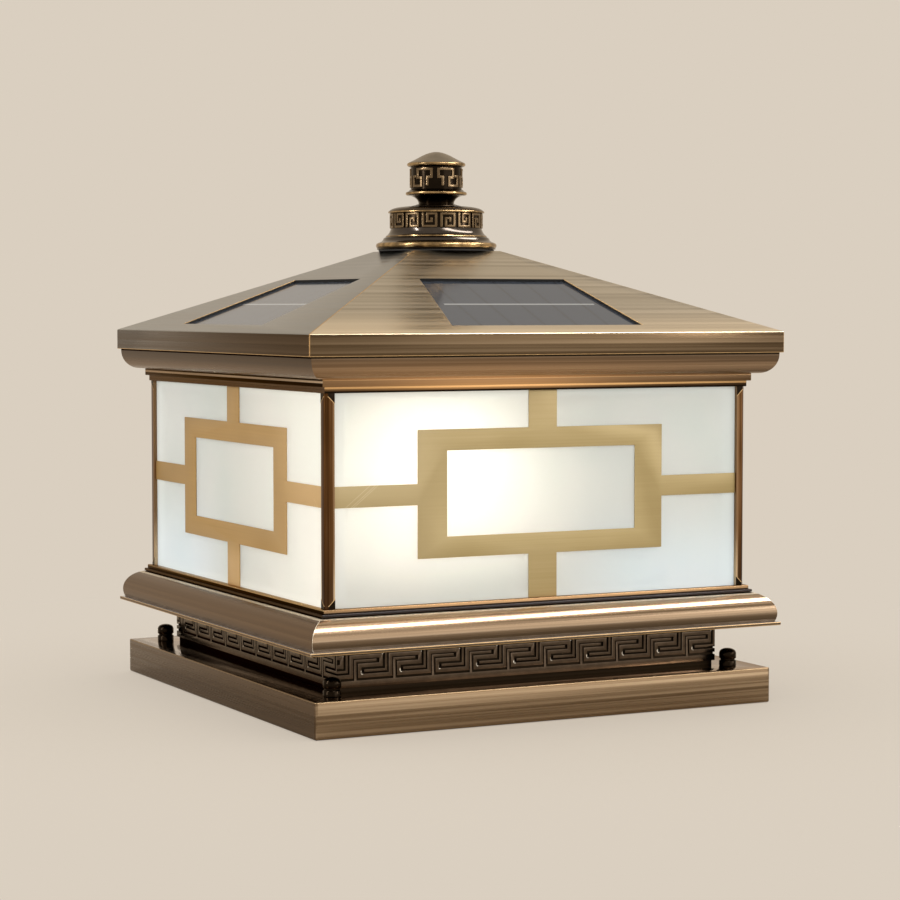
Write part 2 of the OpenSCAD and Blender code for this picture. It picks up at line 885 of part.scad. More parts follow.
mounting_plate();
anchor_studs();
plinth();
collar(FRONT_LEFT);  // front_left_collar
collar(FRONT_RIGHT);  // front_right_collar
collar(BACK_RIGHT);  // back_right_collar
collar(BACK_LEFT);  // back_left_collar
nut(FRONT_LEFT);  // front_left_nut
nut(FRONT_RIGHT);  // front_right_nut
nut(BACK_RIGHT);  // back_right_nut
nut(BACK_LEFT);  // back_left_nut
skirt();
key_band(FRONT);  // front_key_band
key_band(RIGHT);  // right_key_band
key_band(BACK);  // back_key_band
key_band(LEFT);  // left_key_band
sill(FRONT);  // front_sill
sill(RIGHT);  // right_sill
sill(BACK);  // back_sill
sill(LEFT);  // left_sill
lower_frame();
upper_frame();
post(FRONT_LEFT);  // front_left_post
post(FRONT_RIGHT);  // front_right_post
post(BACK_RIGHT);  // back_right_post
post(BACK_LEFT);  // back_left_post
glass(FRONT);  // front_glass
glass(RIGHT);  // right_glass
glass(BACK);  // back_glass
glass(LEFT);  // left_glass
fret(FRONT);  // front_fret
fret(RIGHT);  // right_fret
fret(BACK);  // back_fret
fret(LEFT);  // left_fret
lamp_deck();
deck_screws();
lamp_column();
led_board();
lamp_diffuser();
battery_box();
battery_cells();
controller_box();
switch_body();
push_button();
cross_bar();
finial_stud();
eave_moulding();
roof_floor();
roof_cap();
roof_panel(FRONT);  // front_roof_panel
roof_panel(RIGHT);  // right_roof_panel
roof_panel(BACK);  // back_roof_panel
roof_panel(LEFT);  // left_roof_panel
solar_panel(FRONT);  // front_solar_panel
solar_panel(RIGHT);  // right_solar_panel
solar_panel(BACK);  // back_solar_panel
solar_panel(LEFT);  // left_solar_panel
finial_gasket();
finial_base();
finial_knob();
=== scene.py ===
"""Solar pillar light: bronze lantern with frosted panes, brass frets and a hipped solar roof."""

import math

import bmesh
import bpy
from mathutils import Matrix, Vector
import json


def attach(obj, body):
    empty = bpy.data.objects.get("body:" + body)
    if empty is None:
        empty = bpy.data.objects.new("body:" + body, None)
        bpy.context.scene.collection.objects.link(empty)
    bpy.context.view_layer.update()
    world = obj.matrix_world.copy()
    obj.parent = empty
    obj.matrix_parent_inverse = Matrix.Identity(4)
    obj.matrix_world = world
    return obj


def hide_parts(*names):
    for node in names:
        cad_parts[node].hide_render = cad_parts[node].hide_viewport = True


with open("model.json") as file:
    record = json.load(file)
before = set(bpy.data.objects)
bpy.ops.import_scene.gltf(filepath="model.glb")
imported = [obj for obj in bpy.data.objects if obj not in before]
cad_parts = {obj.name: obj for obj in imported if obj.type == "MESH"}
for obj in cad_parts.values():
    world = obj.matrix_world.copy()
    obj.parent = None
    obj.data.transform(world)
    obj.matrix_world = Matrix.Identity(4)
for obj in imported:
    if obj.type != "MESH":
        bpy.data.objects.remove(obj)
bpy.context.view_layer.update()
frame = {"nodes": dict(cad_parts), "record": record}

MM = 0.001
SIDES = ("front", "right", "back", "left")
CORNERS = {"front_left": (-1, -1), "front_right": (1, -1), "back_right": (1, 1), "back_left": (-1, 1)}

# Half widths, heights over the pillar and other sizes in millimetres, as the CAD has them
PLINTH, LEDGE_Z, NUT_PLACE = 150, 21, 131.5
BAND_FACE, BAND_BACK, KEY_PITCH = 125.9, 125.1, 24.5
LIP_Z, SILL_Z = 49, 66.5
POST, POST_FACE = 138.5, 6
PANE_Z, RAIL_Z, WHITE_INSIDE = 70.5, 190.5, 133.4
EAVE_Z, FASCIA_Z, SLOPE_Z, TOP_Z = 198.5, 211, 223.5, 272.7
ROOF, ROOF_TOP = 155, 29.5
ROOF_ANGLE = math.atan((TOP_Z - SLOPE_Z) / (ROOF - ROOF_TOP))
WINDOW_UP, WINDOW_LEN, WINDOW_LOW, WINDOW_DEEP = 12.4, 73.5, 124, 4
FINIAL_Z, BASE_KEYS = 273.6, 28.3
KNOB_Z, KNOB_KEYS = 300.5, 15.9
STUD_FOOT, STUD_FLANGE, STUD_TOP = 191.5, 198.5, 283.0
THREAD_TURNS, THREAD_PITCH = 64, 1.25
SCREW_TOP = 70.7

BEIGE = (0.701, 0.624, 0.527)


# Working on meshes


def choose(piece):
    """Selects this piece alone."""
    bpy.ops.object.select_all(action="DESELECT")
    piece.select_set(True)
    bpy.context.view_layer.objects.active = piece


def open_up(piece):
    """Goes into edit mode with nothing selected."""
    choose(piece)
    bpy.ops.object.mode_set(mode="EDIT")
    bpy.ops.mesh.select_mode(type="VERT")
    bpy.ops.mesh.select_all(action="DESELECT")


def close_up():
    bpy.ops.object.mode_set(mode="OBJECT")


def pick(kind, test):
    """Selects the vertices, edges or faces that pass a test, in edit mode."""
    bpy.ops.mesh.select_mode(type=kind)
    bpy.ops.mesh.select_all(action="DESELECT")
    mesh = bmesh.from_edit_mesh(bpy.context.object.data)
    parts = {"VERT": mesh.verts, "EDGE": mesh.edges, "FACE": mesh.faces}[kind]
    found = [part for part in parts if test(part)]
    for part in found:
        part.select_set(True)
    bmesh.update_edit_mesh(bpy.context.object.data)


def middle(edge):
    """The middle of an edge, in millimetres."""
    return (edge.verts[0].co + edge.verts[1].co) * (0.5 / MM)


def centre(face):
    """The middle of a face, in millimetres."""
    return face.calc_center_median() / MM


def climb(edge):
    """How far an edge climbs, in millimetres."""
    return abs(edge.verts[0].co.z - edge.verts[1].co.z) / MM


def reach(spot):
    """How far a spot lies from the middle of the lantern, along x or y, whichever is more."""
    return max(abs(spot.x), abs(spot.y))


def sharp(edge, least=30):
    """Whether an edge stands out as a corner."""
    return len(edge.link_faces) == 2 and edge.calc_face_angle_signed() > math.radians(least)


def mend(piece):
    """Joins what meets in a shaped mesh and points its faces outwards."""
    open_up(piece)
    bpy.ops.mesh.select_all(action="SELECT")
    bpy.ops.mesh.remove_doubles(threshold=0.000002)
    bpy.ops.mesh.normals_make_consistent(inside=False)
    close_up()


def smooth(piece, angle=32):
    choose(piece)
    bpy.ops.object.shade_smooth_by_angle(angle=math.radians(angle))


def settle(piece):
    """Puts a piece's place, turn and scale into its mesh."""
    choose(piece)
    bpy.ops.object.transform_apply(location=True, rotation=True, scale=True)


def paint(piece, *finishes):
    piece.data.materials.clear()
    for finish in finishes:
        piece.data.materials.append(finish)


def stain(piece, place, test):
    """Gives the faces that pass a test the finish at this place in the piece's list."""
    open_up(piece)
    pick("FACE", test)
    piece.active_material_index = place
    bpy.ops.object.material_slot_assign()
    close_up()


def cast_from(node, name):
    """A copy of a CAD piece, joined up and rid of needless edges, to be worked on."""
    piece = bpy.data.objects.new(name, frame["nodes"][node].data.copy())
    bpy.context.collection.objects.link(piece)
    open_up(piece)
    bpy.ops.mesh.select_all(action="SELECT")
    bpy.ops.mesh.customdata_custom_splitnormals_clear()
    bpy.ops.mesh.remove_doubles(threshold=0.000002)
    bpy.ops.mesh.dissolve_limited(angle_limit=math.radians(0.2))
    close_up()
    return piece


def ease(piece, width, test, steps=2, place=0, hold=True):
    """Rounds the edges that pass a test, with hold only as far as there is room.

    place is where the finish of the new faces stands in the piece's list.
    """
    open_up(piece)
    pick("EDGE", test)
    bpy.ops.mesh.bevel(offset=width * MM, segments=steps, profile=0.5, affect="EDGES",
                       clamp_overlap=hold, material=place)
    close_up()


def twin(piece, name):
    """A copy of a piece with its own mesh."""
    choose(piece)
    bpy.ops.object.duplicate(linked=False)
    other = bpy.context.object
    other.name = name
    return other


def drawn(name, points):
    """A line drawn point by point in the XZ plane, in millimetres, by extruding its end."""
    first = Vector((points[0][0], 0, points[0][1])) * MM
    bpy.ops.object.select_all(action="DESELECT")
    bpy.ops.mesh.primitive_plane_add(size=0.001, location=first)
    piece = bpy.context.object
    piece.name = name
    settle(piece)
    open_up(piece)
    bpy.ops.mesh.select_all(action="SELECT")
    bpy.ops.mesh.merge(type="CENTER")
    for here, there in zip(points, points[1:]):
        step = Vector((there[0] - here[0], 0, there[1] - here[1])) * MM
        bpy.ops.mesh.extrude_vertices_move(TRANSFORM_OT_translate={"value": step})
    close_up()
    return piece


def turned(name, points, steps, at=(0, 0)):
    """A round piece turned about an upright axis from points of radius and height."""
    piece = drawn(name, points)
    open_up(piece)
    bpy.ops.mesh.select_all(action="SELECT")
    bpy.ops.mesh.spin(steps=steps, angle=2 * math.pi, center=(0, 0, 0), axis=(0, 0, 1))
    close_up()
    piece.location = (at[0] * MM, at[1] * MM, 0)
    settle(piece)
    mend(piece)
    return piece


def bow(about, across, high, start, end, steps=8):
    """Points along part of an ellipse, with the angles in degrees."""
    found = []
    for i in range(steps + 1):
        t = math.radians(start + (end - start) * i / steps)
        found.append((about[0] + across * math.cos(t), about[1] + high * math.sin(t)))
    return found


def fit(piece, body, slot, *nodes):
    """Hangs a finished piece on its body, in place of these CAD nodes."""
    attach(piece, body)
    if nodes:
        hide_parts(*nodes)


def fit_round(piece, places, label, body, slot, node):
    """Copies a piece from the first of four places to the other three, and fits all four."""
    copies = [twin(piece, f"{place}_{label}") for place in places[1:]]
    for quarter, copy in enumerate(copies, start=1):
        copy.rotation_euler.z = quarter * math.pi / 2
        settle(copy)
    for place, copy in zip(places, [piece, *copies]):
        fit(copy, body, slot, f"{place}_{node}")


# Finishes


class Flow:
    """One output of a shader node, for sums and products written as Python."""

    def __init__(self, finish, socket):
        self.finish = finish
        self.socket = socket

    def sum(self, operation, *terms):
        return self.finish.add("Math", {i: term for i, term in enumerate(terms)}, operation=operation)

    def __add__(self, other):
        return self.sum("ADD", self, other)

    def __radd__(self, other):
        return self.sum("ADD", other, self)

    def __sub__(self, other):
        return self.sum("SUBTRACT", self, other)

    def __rsub__(self, other):
        return self.sum("SUBTRACT", other, self)

    def __mul__(self, other):
        return self.sum("MULTIPLY", self, other)

    def __rmul__(self, other):
        return self.sum("MULTIPLY", other, self)

    def __truediv__(self, other):
        return self.sum("DIVIDE", self, other)

    def __pow__(self, other):
        return self.sum("POWER", self, other)

    def __gt__(self, other):
        return self.sum("GREATER_THAN", self, other)

    def __lt__(self, other):
        return self.sum("LESS_THAN", self, other)

    def __abs__(self):
        return self.sum("ABSOLUTE", self)

    def over(self, low, high):
        """0 below low, 1 above high, and a smooth rise between."""
        return self.finish.add("MapRange", {"Value": self, "From Min": low, "From Max": high},
                               interpolation_type="SMOOTHSTEP")


class Finish:
    """A material, or the world; add() puts in any node, with its settings, stops and inputs."""

    def __init__(self, name, world=False):
        self.world = world
        self.block = bpy.data.worlds.new(name) if world else bpy.data.materials.new(name)
        self.block.use_nodes = True
        self.tree = self.block.node_tree
        self.tree.nodes.clear()

    def add(self, kind, inputs=None, out=0, stops=None, **settings):
        node = self.tree.nodes.new("ShaderNode" + kind)
        for name, value in settings.items():
            setattr(node, name, value)
        ends = {0: 0, len(stops or ()) - 1: -1}
        for i, (place, colour) in enumerate(stops or ()):
            level = colour if isinstance(colour, tuple) else (colour, colour, colour)
            ramp = node.color_ramp.elements
            stop = ramp[ends[i]] if i in ends else ramp.new(place)
            stop.position = place
            stop.color = (*level, 1)
        for name, value in (inputs or {}).items():
            socket = node.inputs[name]
            if isinstance(value, Flow):
                self.tree.links.new(value.socket, socket)
            elif isinstance(value, tuple) and len(value) == 3 and socket.type == "RGBA":
                socket.default_value = (*value, 1)
            else:
                socket.default_value = value
        return Flow(self, node.outputs[out]) if len(node.outputs) else None

    def place(self):
        """The spot on the piece, in metres, as three numbers."""
        spot = self.add("TexCoord", out="Object")
        return [self.add("SeparateXYZ", {0: spot}, out=i) for i in range(3)]

    def mix(self, share, one, other, blend="MIX"):
        """Two colours mixed by a share of the second."""
        return self.add("Mix", {0: share, 6: one, 7: other}, out=2, data_type="RGBA", blend_type=blend)

    def grain(self, x, y, z, detail=2.0, rough=0.5):
        """Soft noise over three numbers that set how fast it changes."""
        spot = self.add("CombineXYZ", {0: x, 1: y, 2: z})
        return self.add("TexNoise", {"Vector": spot, "Scale": 1.0, "Detail": detail, "Roughness": rough})

    def coat(self, **inputs):
        """Ends the material with one shader of these inputs."""
        names = {key.replace("_", " ").title(): value for key, value in inputs.items()}
        return self.end(self.add("BsdfPrincipled", names))

    def end(self, shader):
        self.add("OutputWorld" if self.world else "OutputMaterial", {"Surface": shader})
        return self.block


def sum_of(flows):
    """Adds up any number of flows."""
    total, *others = flows
    for flow in others:
        total = total + flow
    return total


def side_place(x, y):
    """Numbers that run along a side and out from the middle, the same on all four sides."""
    on_x = abs(x) > abs(y)
    along = x + on_x * (y - x)
    out = abs(y) + on_x * (abs(x) - abs(y))
    return along, out


def brushed_bronze(name, dark, mid, light, rough=(0.24, 0.42), fine=0.5, lamp_glow=False,
                   side=(0.74, 0.71, 0.71), foot_highlight_heights=None, lacquer=0.0, edge=(0.95, 0.91, 0.86),
                   painted_light_by_height=None):
    """Antique bronze, brushed level along each side, with light and dark streaks.

    side is a painted shade and reflection tint on the left and right, where the streaks are calmer;
    foot_highlight_heights gives the heights under which the front is painted lighter, a painted
    highlight along its foot; edge is the tone seen aslant; painted_light_by_height gives a low and a
    high level and the painted light and shade between them, for the front and for the sides.
    """
    finish = Finish(name)
    x, y, z = finish.place()
    along, out = side_place(x, y)
    on_side = abs(x) > abs(y)
    on_front = 1 - on_side
    hair = finish.grain(along * 5, out * 1300, z * 1300, 3.0, 0.6)
    band = finish.grain(along * 1.1, out * 260, z * 260, 2.0, 0.55)
    streak = (band * 0.55 + hair * fine * 0.45) / (0.55 + fine * 0.45)
    colour = finish.add("ValToRGB", {0: streak}, stops=[(0.34, dark), (0.5, mid), (0.66, light)])
    calm = finish.mix(0.55, colour, mid)
    # The left and right sides take a painted shade and reflection tint.
    colour = finish.mix(on_side, colour, finish.mix(1.0, calm, side, "MULTIPLY"))
    # A painted highlight: the front grows lighter towards its foot.
    if foot_highlight_heights:
        colour = finish.mix((1 - z.over(*foot_highlight_heights)) * on_front * 0.8, colour, (0.86, 0.72, 0.52))
    # Painted light and shade in bands by height, for the front and for the sides.
    if painted_light_by_height:
        low, high, front_stops, side_stops = painted_light_by_height
        level = (z - low) / (high - low)
        front_shade = finish.add("ValToRGB", {0: level}, stops=front_stops)
        side_shade = finish.add("ValToRGB", {0: level}, stops=side_stops)
        colour = finish.mix(1.0, colour, finish.mix(on_front, side_shade, front_shade), "MULTIPLY")
    bump = finish.add("Bump", {"Strength": 0.22, "Distance": 0.00012, "Height": hair * 0.6 + band * 0.4})
    cover = {"base_color": colour, "metallic": 1.0, "normal": bump, "specular_tint": (*edge, 1.0),
             "roughness": streak.over(0.35, 0.65) * (rough[1] - rough[0]) + rough[0],
             "coat_roughness": 0.22}
    if lacquer:
        cover["coat_weight"] = on_front * lacquer
    if lamp_glow:
        cover.update(emission_color=warm_glow(finish, along, streak), emission_strength=0.6)
    return finish.coat(**cover)


def warm_glow(finish, along, streak):
    """The lamp's orange light on the metal just over the front pane, painted on as a glow."""
    x, y, z = finish.place()
    near = 1 - abs(along + 0.05).over(0.0, 0.22)
    spot = 1 - abs(along + 0.03).over(0.01, 0.10)
    low = 1 - z.over(0.196, 0.2125)
    foot = 1 - z.over(0.1925, 0.2015)
    level = (near * 0.34 + 0.06) * (low * 0.85 + 0.15) + spot * foot * 0.5
    over_rim = z.over(0.1912, 0.1924)
    shown = (y < -0.12) * (abs(y) > abs(x)) * (streak * 0.8 + 0.6) * level * over_rim
    return finish.mix(shown, (0.0, 0.0, 0.0), (0.80, 0.40, 0.15))


def stepped_bronze(name, levels, lamp_glow=False):
    """The beads round the panes, in painted bands of light and shade: each level up has a tone for front
    and back and one for the sides, painted highlight lines and dark shade lines as the light falls.
    """
    finish = Finish(name)
    x, y, z = finish.place()
    along, out = side_place(x, y)
    on_side = abs(x) > abs(y)
    hair = finish.grain(along * 6, out * 1300, z * 1300, 3.0, 0.6)
    tone = None
    for start, front, side in levels:
        here = finish.mix(on_side, front, side)
        tone = here if tone is None else finish.mix(z > start, tone, here)
    tone = finish.mix(hair.over(0.35, 0.65) * 0.45, tone, (0.02, 0.012, 0.007))
    bump = finish.add("Bump", {"Strength": 0.2, "Distance": 0.0001, "Height": hair})
    cover = {"base_color": tone, "metallic": 1.0, "normal": bump, "roughness": hair * 0.14 + 0.2,
             "specular_tint": (0.6, 0.5, 0.42, 1.0)}
    if lamp_glow:
        cover.update(emission_color=warm_glow(finish, along, hair), emission_strength=0.6)
    return finish.coat(**cover)


def plain_metal(name, colour, rough, mottle, scale, shade=0.6):
    """Metal with a soft cloudy tone, for turned and cast pieces."""
    finish = Finish(name)
    x, y, z = finish.place()
    cloud = finish.grain(x * scale, y * scale, z * scale, 4.0, 0.6)
    dim = tuple(c * shade for c in colour)
    tone = finish.mix(cloud.over(0.35, 0.65) * mottle, colour, dim)
    bump = finish.add("Bump", {"Strength": 0.12, "Distance": 0.0002, "Height": cloud})
    return finish.coat(base_color=tone, metallic=1.0, roughness=cloud * 0.16 + (rough - 0.08), normal=bump,
                       specular_tint=(0.94, 0.88, 0.80, 1.0))


# Where the first key glints: along the band, up and how wide, in millimetres
KEY_GLINTS = ((-135.0, 32.0, 0.9), (-121.6, 42.2, 0.7))


def key_bronze():
    """The key band's metal, with a bright glint in each key's lower hook and by its upper corner."""
    finish = Finish("band_bronze")
    x, y, z = finish.place()
    along, _ = side_place(x, y)
    cloud = finish.grain(x * 220, y * 220, z * 220, 4.0, 0.6)
    tone = finish.mix(cloud.over(0.35, 0.65) * 0.5, (0.095, 0.069, 0.048), (0.05, 0.036, 0.026))
    spots = []
    for start, up, size in KEY_GLINTS:
        turn = (along / MM - start) / KEY_PITCH + 0.5
        aside = (turn.sum("FRACT", turn) - 0.5) * KEY_PITCH
        rise = z / MM - up
        far = (aside * aside + rise * rise * 0.5 + aside * rise * 0.6) ** 0.5
        spots.append(1 - far.over(size * 0.5, size))
    tone = finish.mix(sum_of(spots) * cloud.over(0.42, 0.55), tone, (0.95, 0.90, 0.80))
    bump = finish.add("Bump", {"Strength": 0.12, "Distance": 0.0002, "Height": cloud})
    return finish.coat(base_color=tone, metallic=1.0, roughness=cloud * 0.16 + 0.14, normal=bump,
                       specular_tint=(0.94, 0.88, 0.80, 1.0))


def plastic(name, colour, rough, grit=900):
    """Moulded plastic or paint with a fine grain."""
    finish = Finish(name)
    x, y, z = finish.place()
    speck = finish.grain(x * grit, y * grit, z * grit, 2.0)
    cloud = finish.grain(x * 40, y * 40, z * 40, 2.0)
    tone = finish.mix(cloud * 0.25, colour, tuple(c * 0.8 for c in colour))
    bump = finish.add("Bump", {"Strength": 0.15, "Distance": 0.0001, "Height": speck})
    return finish.coat(base_color=tone, roughness=speck * 0.15 + (rough - 0.07), normal=bump)


def brass_sheet():
    """Brushed brass of the frets, with long level hairs and a few stray scratches, and painted light and
    shade: darker, warmer sides, a lighter patch on the front, and warm light on the sides' front ends and
    feet.
    """
    finish = Finish("brushed_brass")
    x, y, z = finish.place()
    along, out = side_place(x, y)
    hair = finish.grain(along * 7, out * 10, z * 900, 3.0, 0.6)
    cloud = finish.grain(along * 12, out * 12, z * 16, 2.0)
    tone = finish.add("ValToRGB", {0: hair * 0.3 + cloud * 0.7},
                      stops=[(0.35, (0.43, 0.32, 0.13)), (0.5, (0.475, 0.36, 0.155)),
                             (0.65, (0.52, 0.40, 0.19))])
    aside = along + 0.115
    cross = aside * 0.62 - (z - 0.1325) * 0.78
    lines = sum_of(1 - abs(cross - shift).over(0.00012, 0.0003) for shift in (-0.0019, 0.0002, 0.0012))
    here = 1 - abs(aside).over(0.011, 0.0125)
    scratch = lines * here * (y < -0.12)
    tone = finish.mix(scratch * 0.6, tone, (0.86, 0.76, 0.52))
    # The side frets: painted shade, darker and warmer.
    on_side = abs(x) > abs(y)
    tone = finish.mix(on_side, tone, finish.mix(1.0, tone, (0.97, 0.78, 0.58), "MULTIPLY"))
    # A painted patch of light on the front and back frets, towards negative x.
    painted_light_patch = (1 - on_side) * (1 - along.over(-0.09, -0.045))
    tone = finish.mix(painted_light_patch * 0.6, tone, (0.58, 0.46, 0.25))
    # Painted warm light on the side frets, towards their front end and their foot.
    corner = (y * -1).over(0.04, 0.115)
    low = 1 - z.over(0.082, 0.10)
    tone = finish.mix(on_side * (corner + low - corner * low) * 0.7, tone, (0.74, 0.50, 0.24))
    bump = finish.add("Bump", {"Strength": 0.18, "Distance": 0.0001, "Height": hair})
    return finish.coat(base_color=tone, metallic=0.2, roughness=hair * 0.12 + 0.42, normal=bump)


# The middle of the lamp's painted spot of light on the front pane, and how far it reaches
SPOT_X, SPOT_Z, SPOT_REACH = -0.066, 0.136, 0.11


def frosted_glass():
    """Etched glass: it blurs part of the light and scatters the rest; the lamp's glow on it and a cool
    daylight are painted on as emission.
    """
    finish = Finish("frosted_pane")
    x, y, z = finish.place()
    along, _ = side_place(x, y)
    frost = finish.grain(x * 700, y * 700, z * 700, 3.0, 0.6)
    cloud = finish.grain(x * 16, y * 16, z * 16, 2.0)
    tone = finish.mix(cloud.over(0.3, 0.7), (0.82, 0.86, 0.83), (0.87, 0.885, 0.855))
    on_side = abs(x) > abs(y)
    far = ((x - SPOT_X) ** 2.0 * 0.8 + (z - SPOT_Z) ** 2.0 * 1.3) ** 0.5
    spot = (1 - far.over(0.0, SPOT_REACH)) * (y < -0.12) * (1 - on_side) * z.over(0.064, 0.10)
    # Painted lamp light: brighter on the side panes towards the front, and a spot on the front pane.
    lamp = on_side * ((y * -1).over(-0.02, 0.14) * 0.48 + 0.04) + spot + 0.02
    lit = finish.mix(lamp, (0.0, 0.0, 0.0), (0.54, 0.462, 0.385))
    # A cool painted daylight, added where along is high and low on the panes.
    daylight = along.over(-0.01, 0.08) * ((1 - z.over(0.075, 0.13)) * 0.75 + 0.15)
    lit = finish.mix(daylight, lit, (0.085, 0.135, 0.20), "ADD")
    bump = finish.add("Bump", {"Strength": 0.12, "Distance": 0.0001, "Height": frost})
    clear = finish.add("BsdfPrincipled", {"Base Color": tone, "Roughness": 0.6, "IOR": 1.45,
                                          "Transmission Weight": 1.0, "Normal": bump})
    milky = finish.add("BsdfPrincipled", {"Base Color": tone, "Roughness": 1.0, "Specular IOR Level": 0.0,
                                          "Emission Color": lit, "Emission Strength": 1.0})
    return finish.end(finish.add("MixShader", {0: 0.66, 1: clear, 2: milky}))


def solar_laminate():
    """Dark cells under glass: two rows of six, with a silver bar between them and fine fingers."""
    finish = Finish("solar_cell")
    x, y, _ = finish.place()
    along, out = side_place(x, y)
    up = (ROOF * MM - out) / math.cos(ROOF_ANGLE)
    mid = (WINDOW_UP + WINDOW_LEN * 0.5) * MM
    bar = (1 - abs(up - mid).over(0.0008, 0.0011)) * (abs(along) < 0.05)
    column = abs((along / 0.0208).sum("FRACT", along / 0.0208) - 0.5).over(0.478, 0.486)
    finger = abs((along / 0.0026).sum("FRACT", along / 0.0026) - 0.5).over(0.42, 0.47)
    grain = finish.grain(along * 500, up * 500, 0.0, 2.0)
    tone = finish.mix(finger * 0.25, (0.050, 0.058, 0.072), (0.085, 0.09, 0.10))
    tone = finish.mix(grain * 0.3, tone, (0.043, 0.050, 0.064))
    tone = finish.mix(column, tone, (0.018, 0.018, 0.02))
    tone = finish.mix(bar, tone, (0.34, 0.34, 0.33))
    return finish.coat(base_color=tone, roughness=0.12 + finger * 0.04)


def lamp_lit_white():
    """White paint behind the edges of the panes, with the lamp's light painted on as a faint glow."""
    finish = Finish("lamp_lit_white")
    x, y, z = finish.place()
    cloud = finish.grain(x * 30, y * 30, z * 30, 2.0)
    glow = finish.mix(cloud * 0.3, (1.0, 0.99, 0.95), (0.95, 0.97, 0.93))
    return finish.coat(base_color=(0.85, 0.86, 0.84), roughness=0.5, emission_color=glow,
                       emission_strength=0.25)


def lit_globe():
    """The opal globe with the lamp on inside it."""
    finish = Finish("opal_plastic")
    x, y, z = finish.place()
    cloud = finish.grain(x * 60, y * 60, z * 60, 2.0)
    glow = finish.mix(cloud * 0.3, (1.0, 0.96, 0.87), (1.0, 0.92, 0.80))
    return finish.coat(base_color=(0.9, 0.9, 0.86), roughness=0.4, emission_color=glow,
                       emission_strength=20.0)


def floor_beige():
    """The floor: near the part it takes some shadow, and far off it looks as the backdrop does."""
    finish = Finish("floor_beige")
    x, y, z = finish.place()
    far = ((x * x + y * y) ** 0.5).over(0.24, 0.55) * 0.4 + 0.6
    speck = finish.grain(x * 3, y * 3, z, 2.0)
    cloth = finish.mix(speck * 0.04, BEIGE, (0.64, 0.585, 0.49))
    near = finish.add("BsdfDiffuse", {"Color": cloth})
    glow = finish.add("Emission", {"Color": BEIGE, "Strength": 1.0})
    ray = finish.add("LightPath", out="Is Camera Ray")
    return finish.end(finish.add("MixShader", {0: far * ray, 1: near, 2: glow}))


# In each brushed bronze below, side is a painted shade and reflection tint for the left and right.
bronze = brushed_bronze("brushed_bronze", (0.06, 0.037, 0.019), (0.112, 0.075, 0.042), (0.21, 0.15, 0.092),
                        (0.18, 0.36))
# Painted light and shade on the cove by height: on the front a dark streak low down, a lighter middle and
# shade under the fascia; on the sides lighter at the foot and darker towards the top.
COVE_PAINTED_LIGHT = (EAVE_Z * MM, FASCIA_Z * MM,
               [(0.0, 0.9), (0.08, 0.32), (0.2, 0.5), (0.42, 1.0), (0.6, 0.9), (0.8, 0.6), (0.93, 0.45),
                (1.0, 0.25)],
               [(0.0, 1.25), (0.3, 1.0), (0.6, 0.62), (1.0, 0.4)])
eave_bronze = brushed_bronze("eave_bronze", (0.11, 0.072, 0.045), (0.26, 0.178, 0.113), (0.43, 0.305, 0.2),
                             (0.18, 0.34), lamp_glow=True, side=(0.52, 0.44, 0.34), painted_light_by_height=COVE_PAINTED_LIGHT)
# Painted light and shade on the sill by height: on the front dark at the foot and brightest high on its
# round, where the painted highlight stands; on the sides a little darker at the foot and the top.
SILL_PAINTED_LIGHT = (LIP_Z * MM, SILL_Z * MM,
               [(0.0, 0.4), (0.15, 0.6), (0.35, 0.85), (0.5, 1.1), (0.8, 1.4), (1.0, 1.15)],
               [(0.0, 0.8), (0.3, 0.9), (0.6, 1.0), (1.0, 0.8)])
sill_bronze = brushed_bronze("sill_bronze", (0.13, 0.086, 0.05), (0.24, 0.168, 0.106), (0.38, 0.28, 0.19),
                             (0.14, 0.24), side=(0.66, 0.58, 0.5), lacquer=0.12, painted_light_by_height=SILL_PAINTED_LIGHT)
plinth_bronze = brushed_bronze("plinth_bronze", (0.13, 0.083, 0.046), (0.25, 0.175, 0.105), (0.42, 0.31, 0.2),
                               (0.2, 0.38), side=(0.48, 0.46, 0.47))
# The roof: its left and right slopes painted greyer and bluer as a reflection tint, and a painted highlight
# along the foot of the front.
roof_bronze = brushed_bronze("roof_bronze", (0.37, 0.32, 0.24), (0.46, 0.405, 0.31), (0.55, 0.485, 0.385),
                             (0.28, 0.38), side=(0.74, 0.84, 1.04), foot_highlight_heights=(0.2235, 0.239))
# Painted highlight lines and dark shade lines on the beads, lit differently on front and sides.
lower_beads = stepped_bronze("lower_beads", [(0, (0.05, 0.046, 0.048), (0.075, 0.055, 0.04)),
                                             (0.0682, (0.03, 0.024, 0.02), (0.008, 0.006, 0.004)),
                                             (0.0688, (0.40, 0.25, 0.13), (0.012, 0.008, 0.005)),
                                             (0.0699, (0.40, 0.25, 0.13), (0.60, 0.42, 0.22))])
upper_beads = stepped_bronze("upper_beads", [(0, (0.014, 0.009, 0.005), (0.13, 0.085, 0.055)),
                                             (0.1928, (0.60, 0.37, 0.16), (0.17, 0.115, 0.075)),
                                             (0.1939, (0.09, 0.056, 0.031), (0.012, 0.009, 0.008)),
                                             (0.1961, (0.09, 0.056, 0.031), (0.62, 0.48, 0.34)),
                                             (0.1974, (0.36, 0.23, 0.12), (0.03, 0.02, 0.013))],
                               lamp_glow=True)
ledge_bronze = brushed_bronze("ledge_bronze", (0.30, 0.20, 0.12), (0.38, 0.26, 0.16), (0.46, 0.33, 0.21),
                              (0.1, 0.16), 0.3)
skirt_bronze = brushed_bronze("skirt_bronze", (0.005, 0.003, 0.002), (0.01, 0.007, 0.004),
                              (0.024, 0.017, 0.011), edge=(0.45, 0.36, 0.26))
band_bronze = key_bronze()
worn_and_highlit_edge = plain_metal("worn_and_highlit_edge", (0.17, 0.128, 0.09), 0.26, 0.8, 500, 0.35)
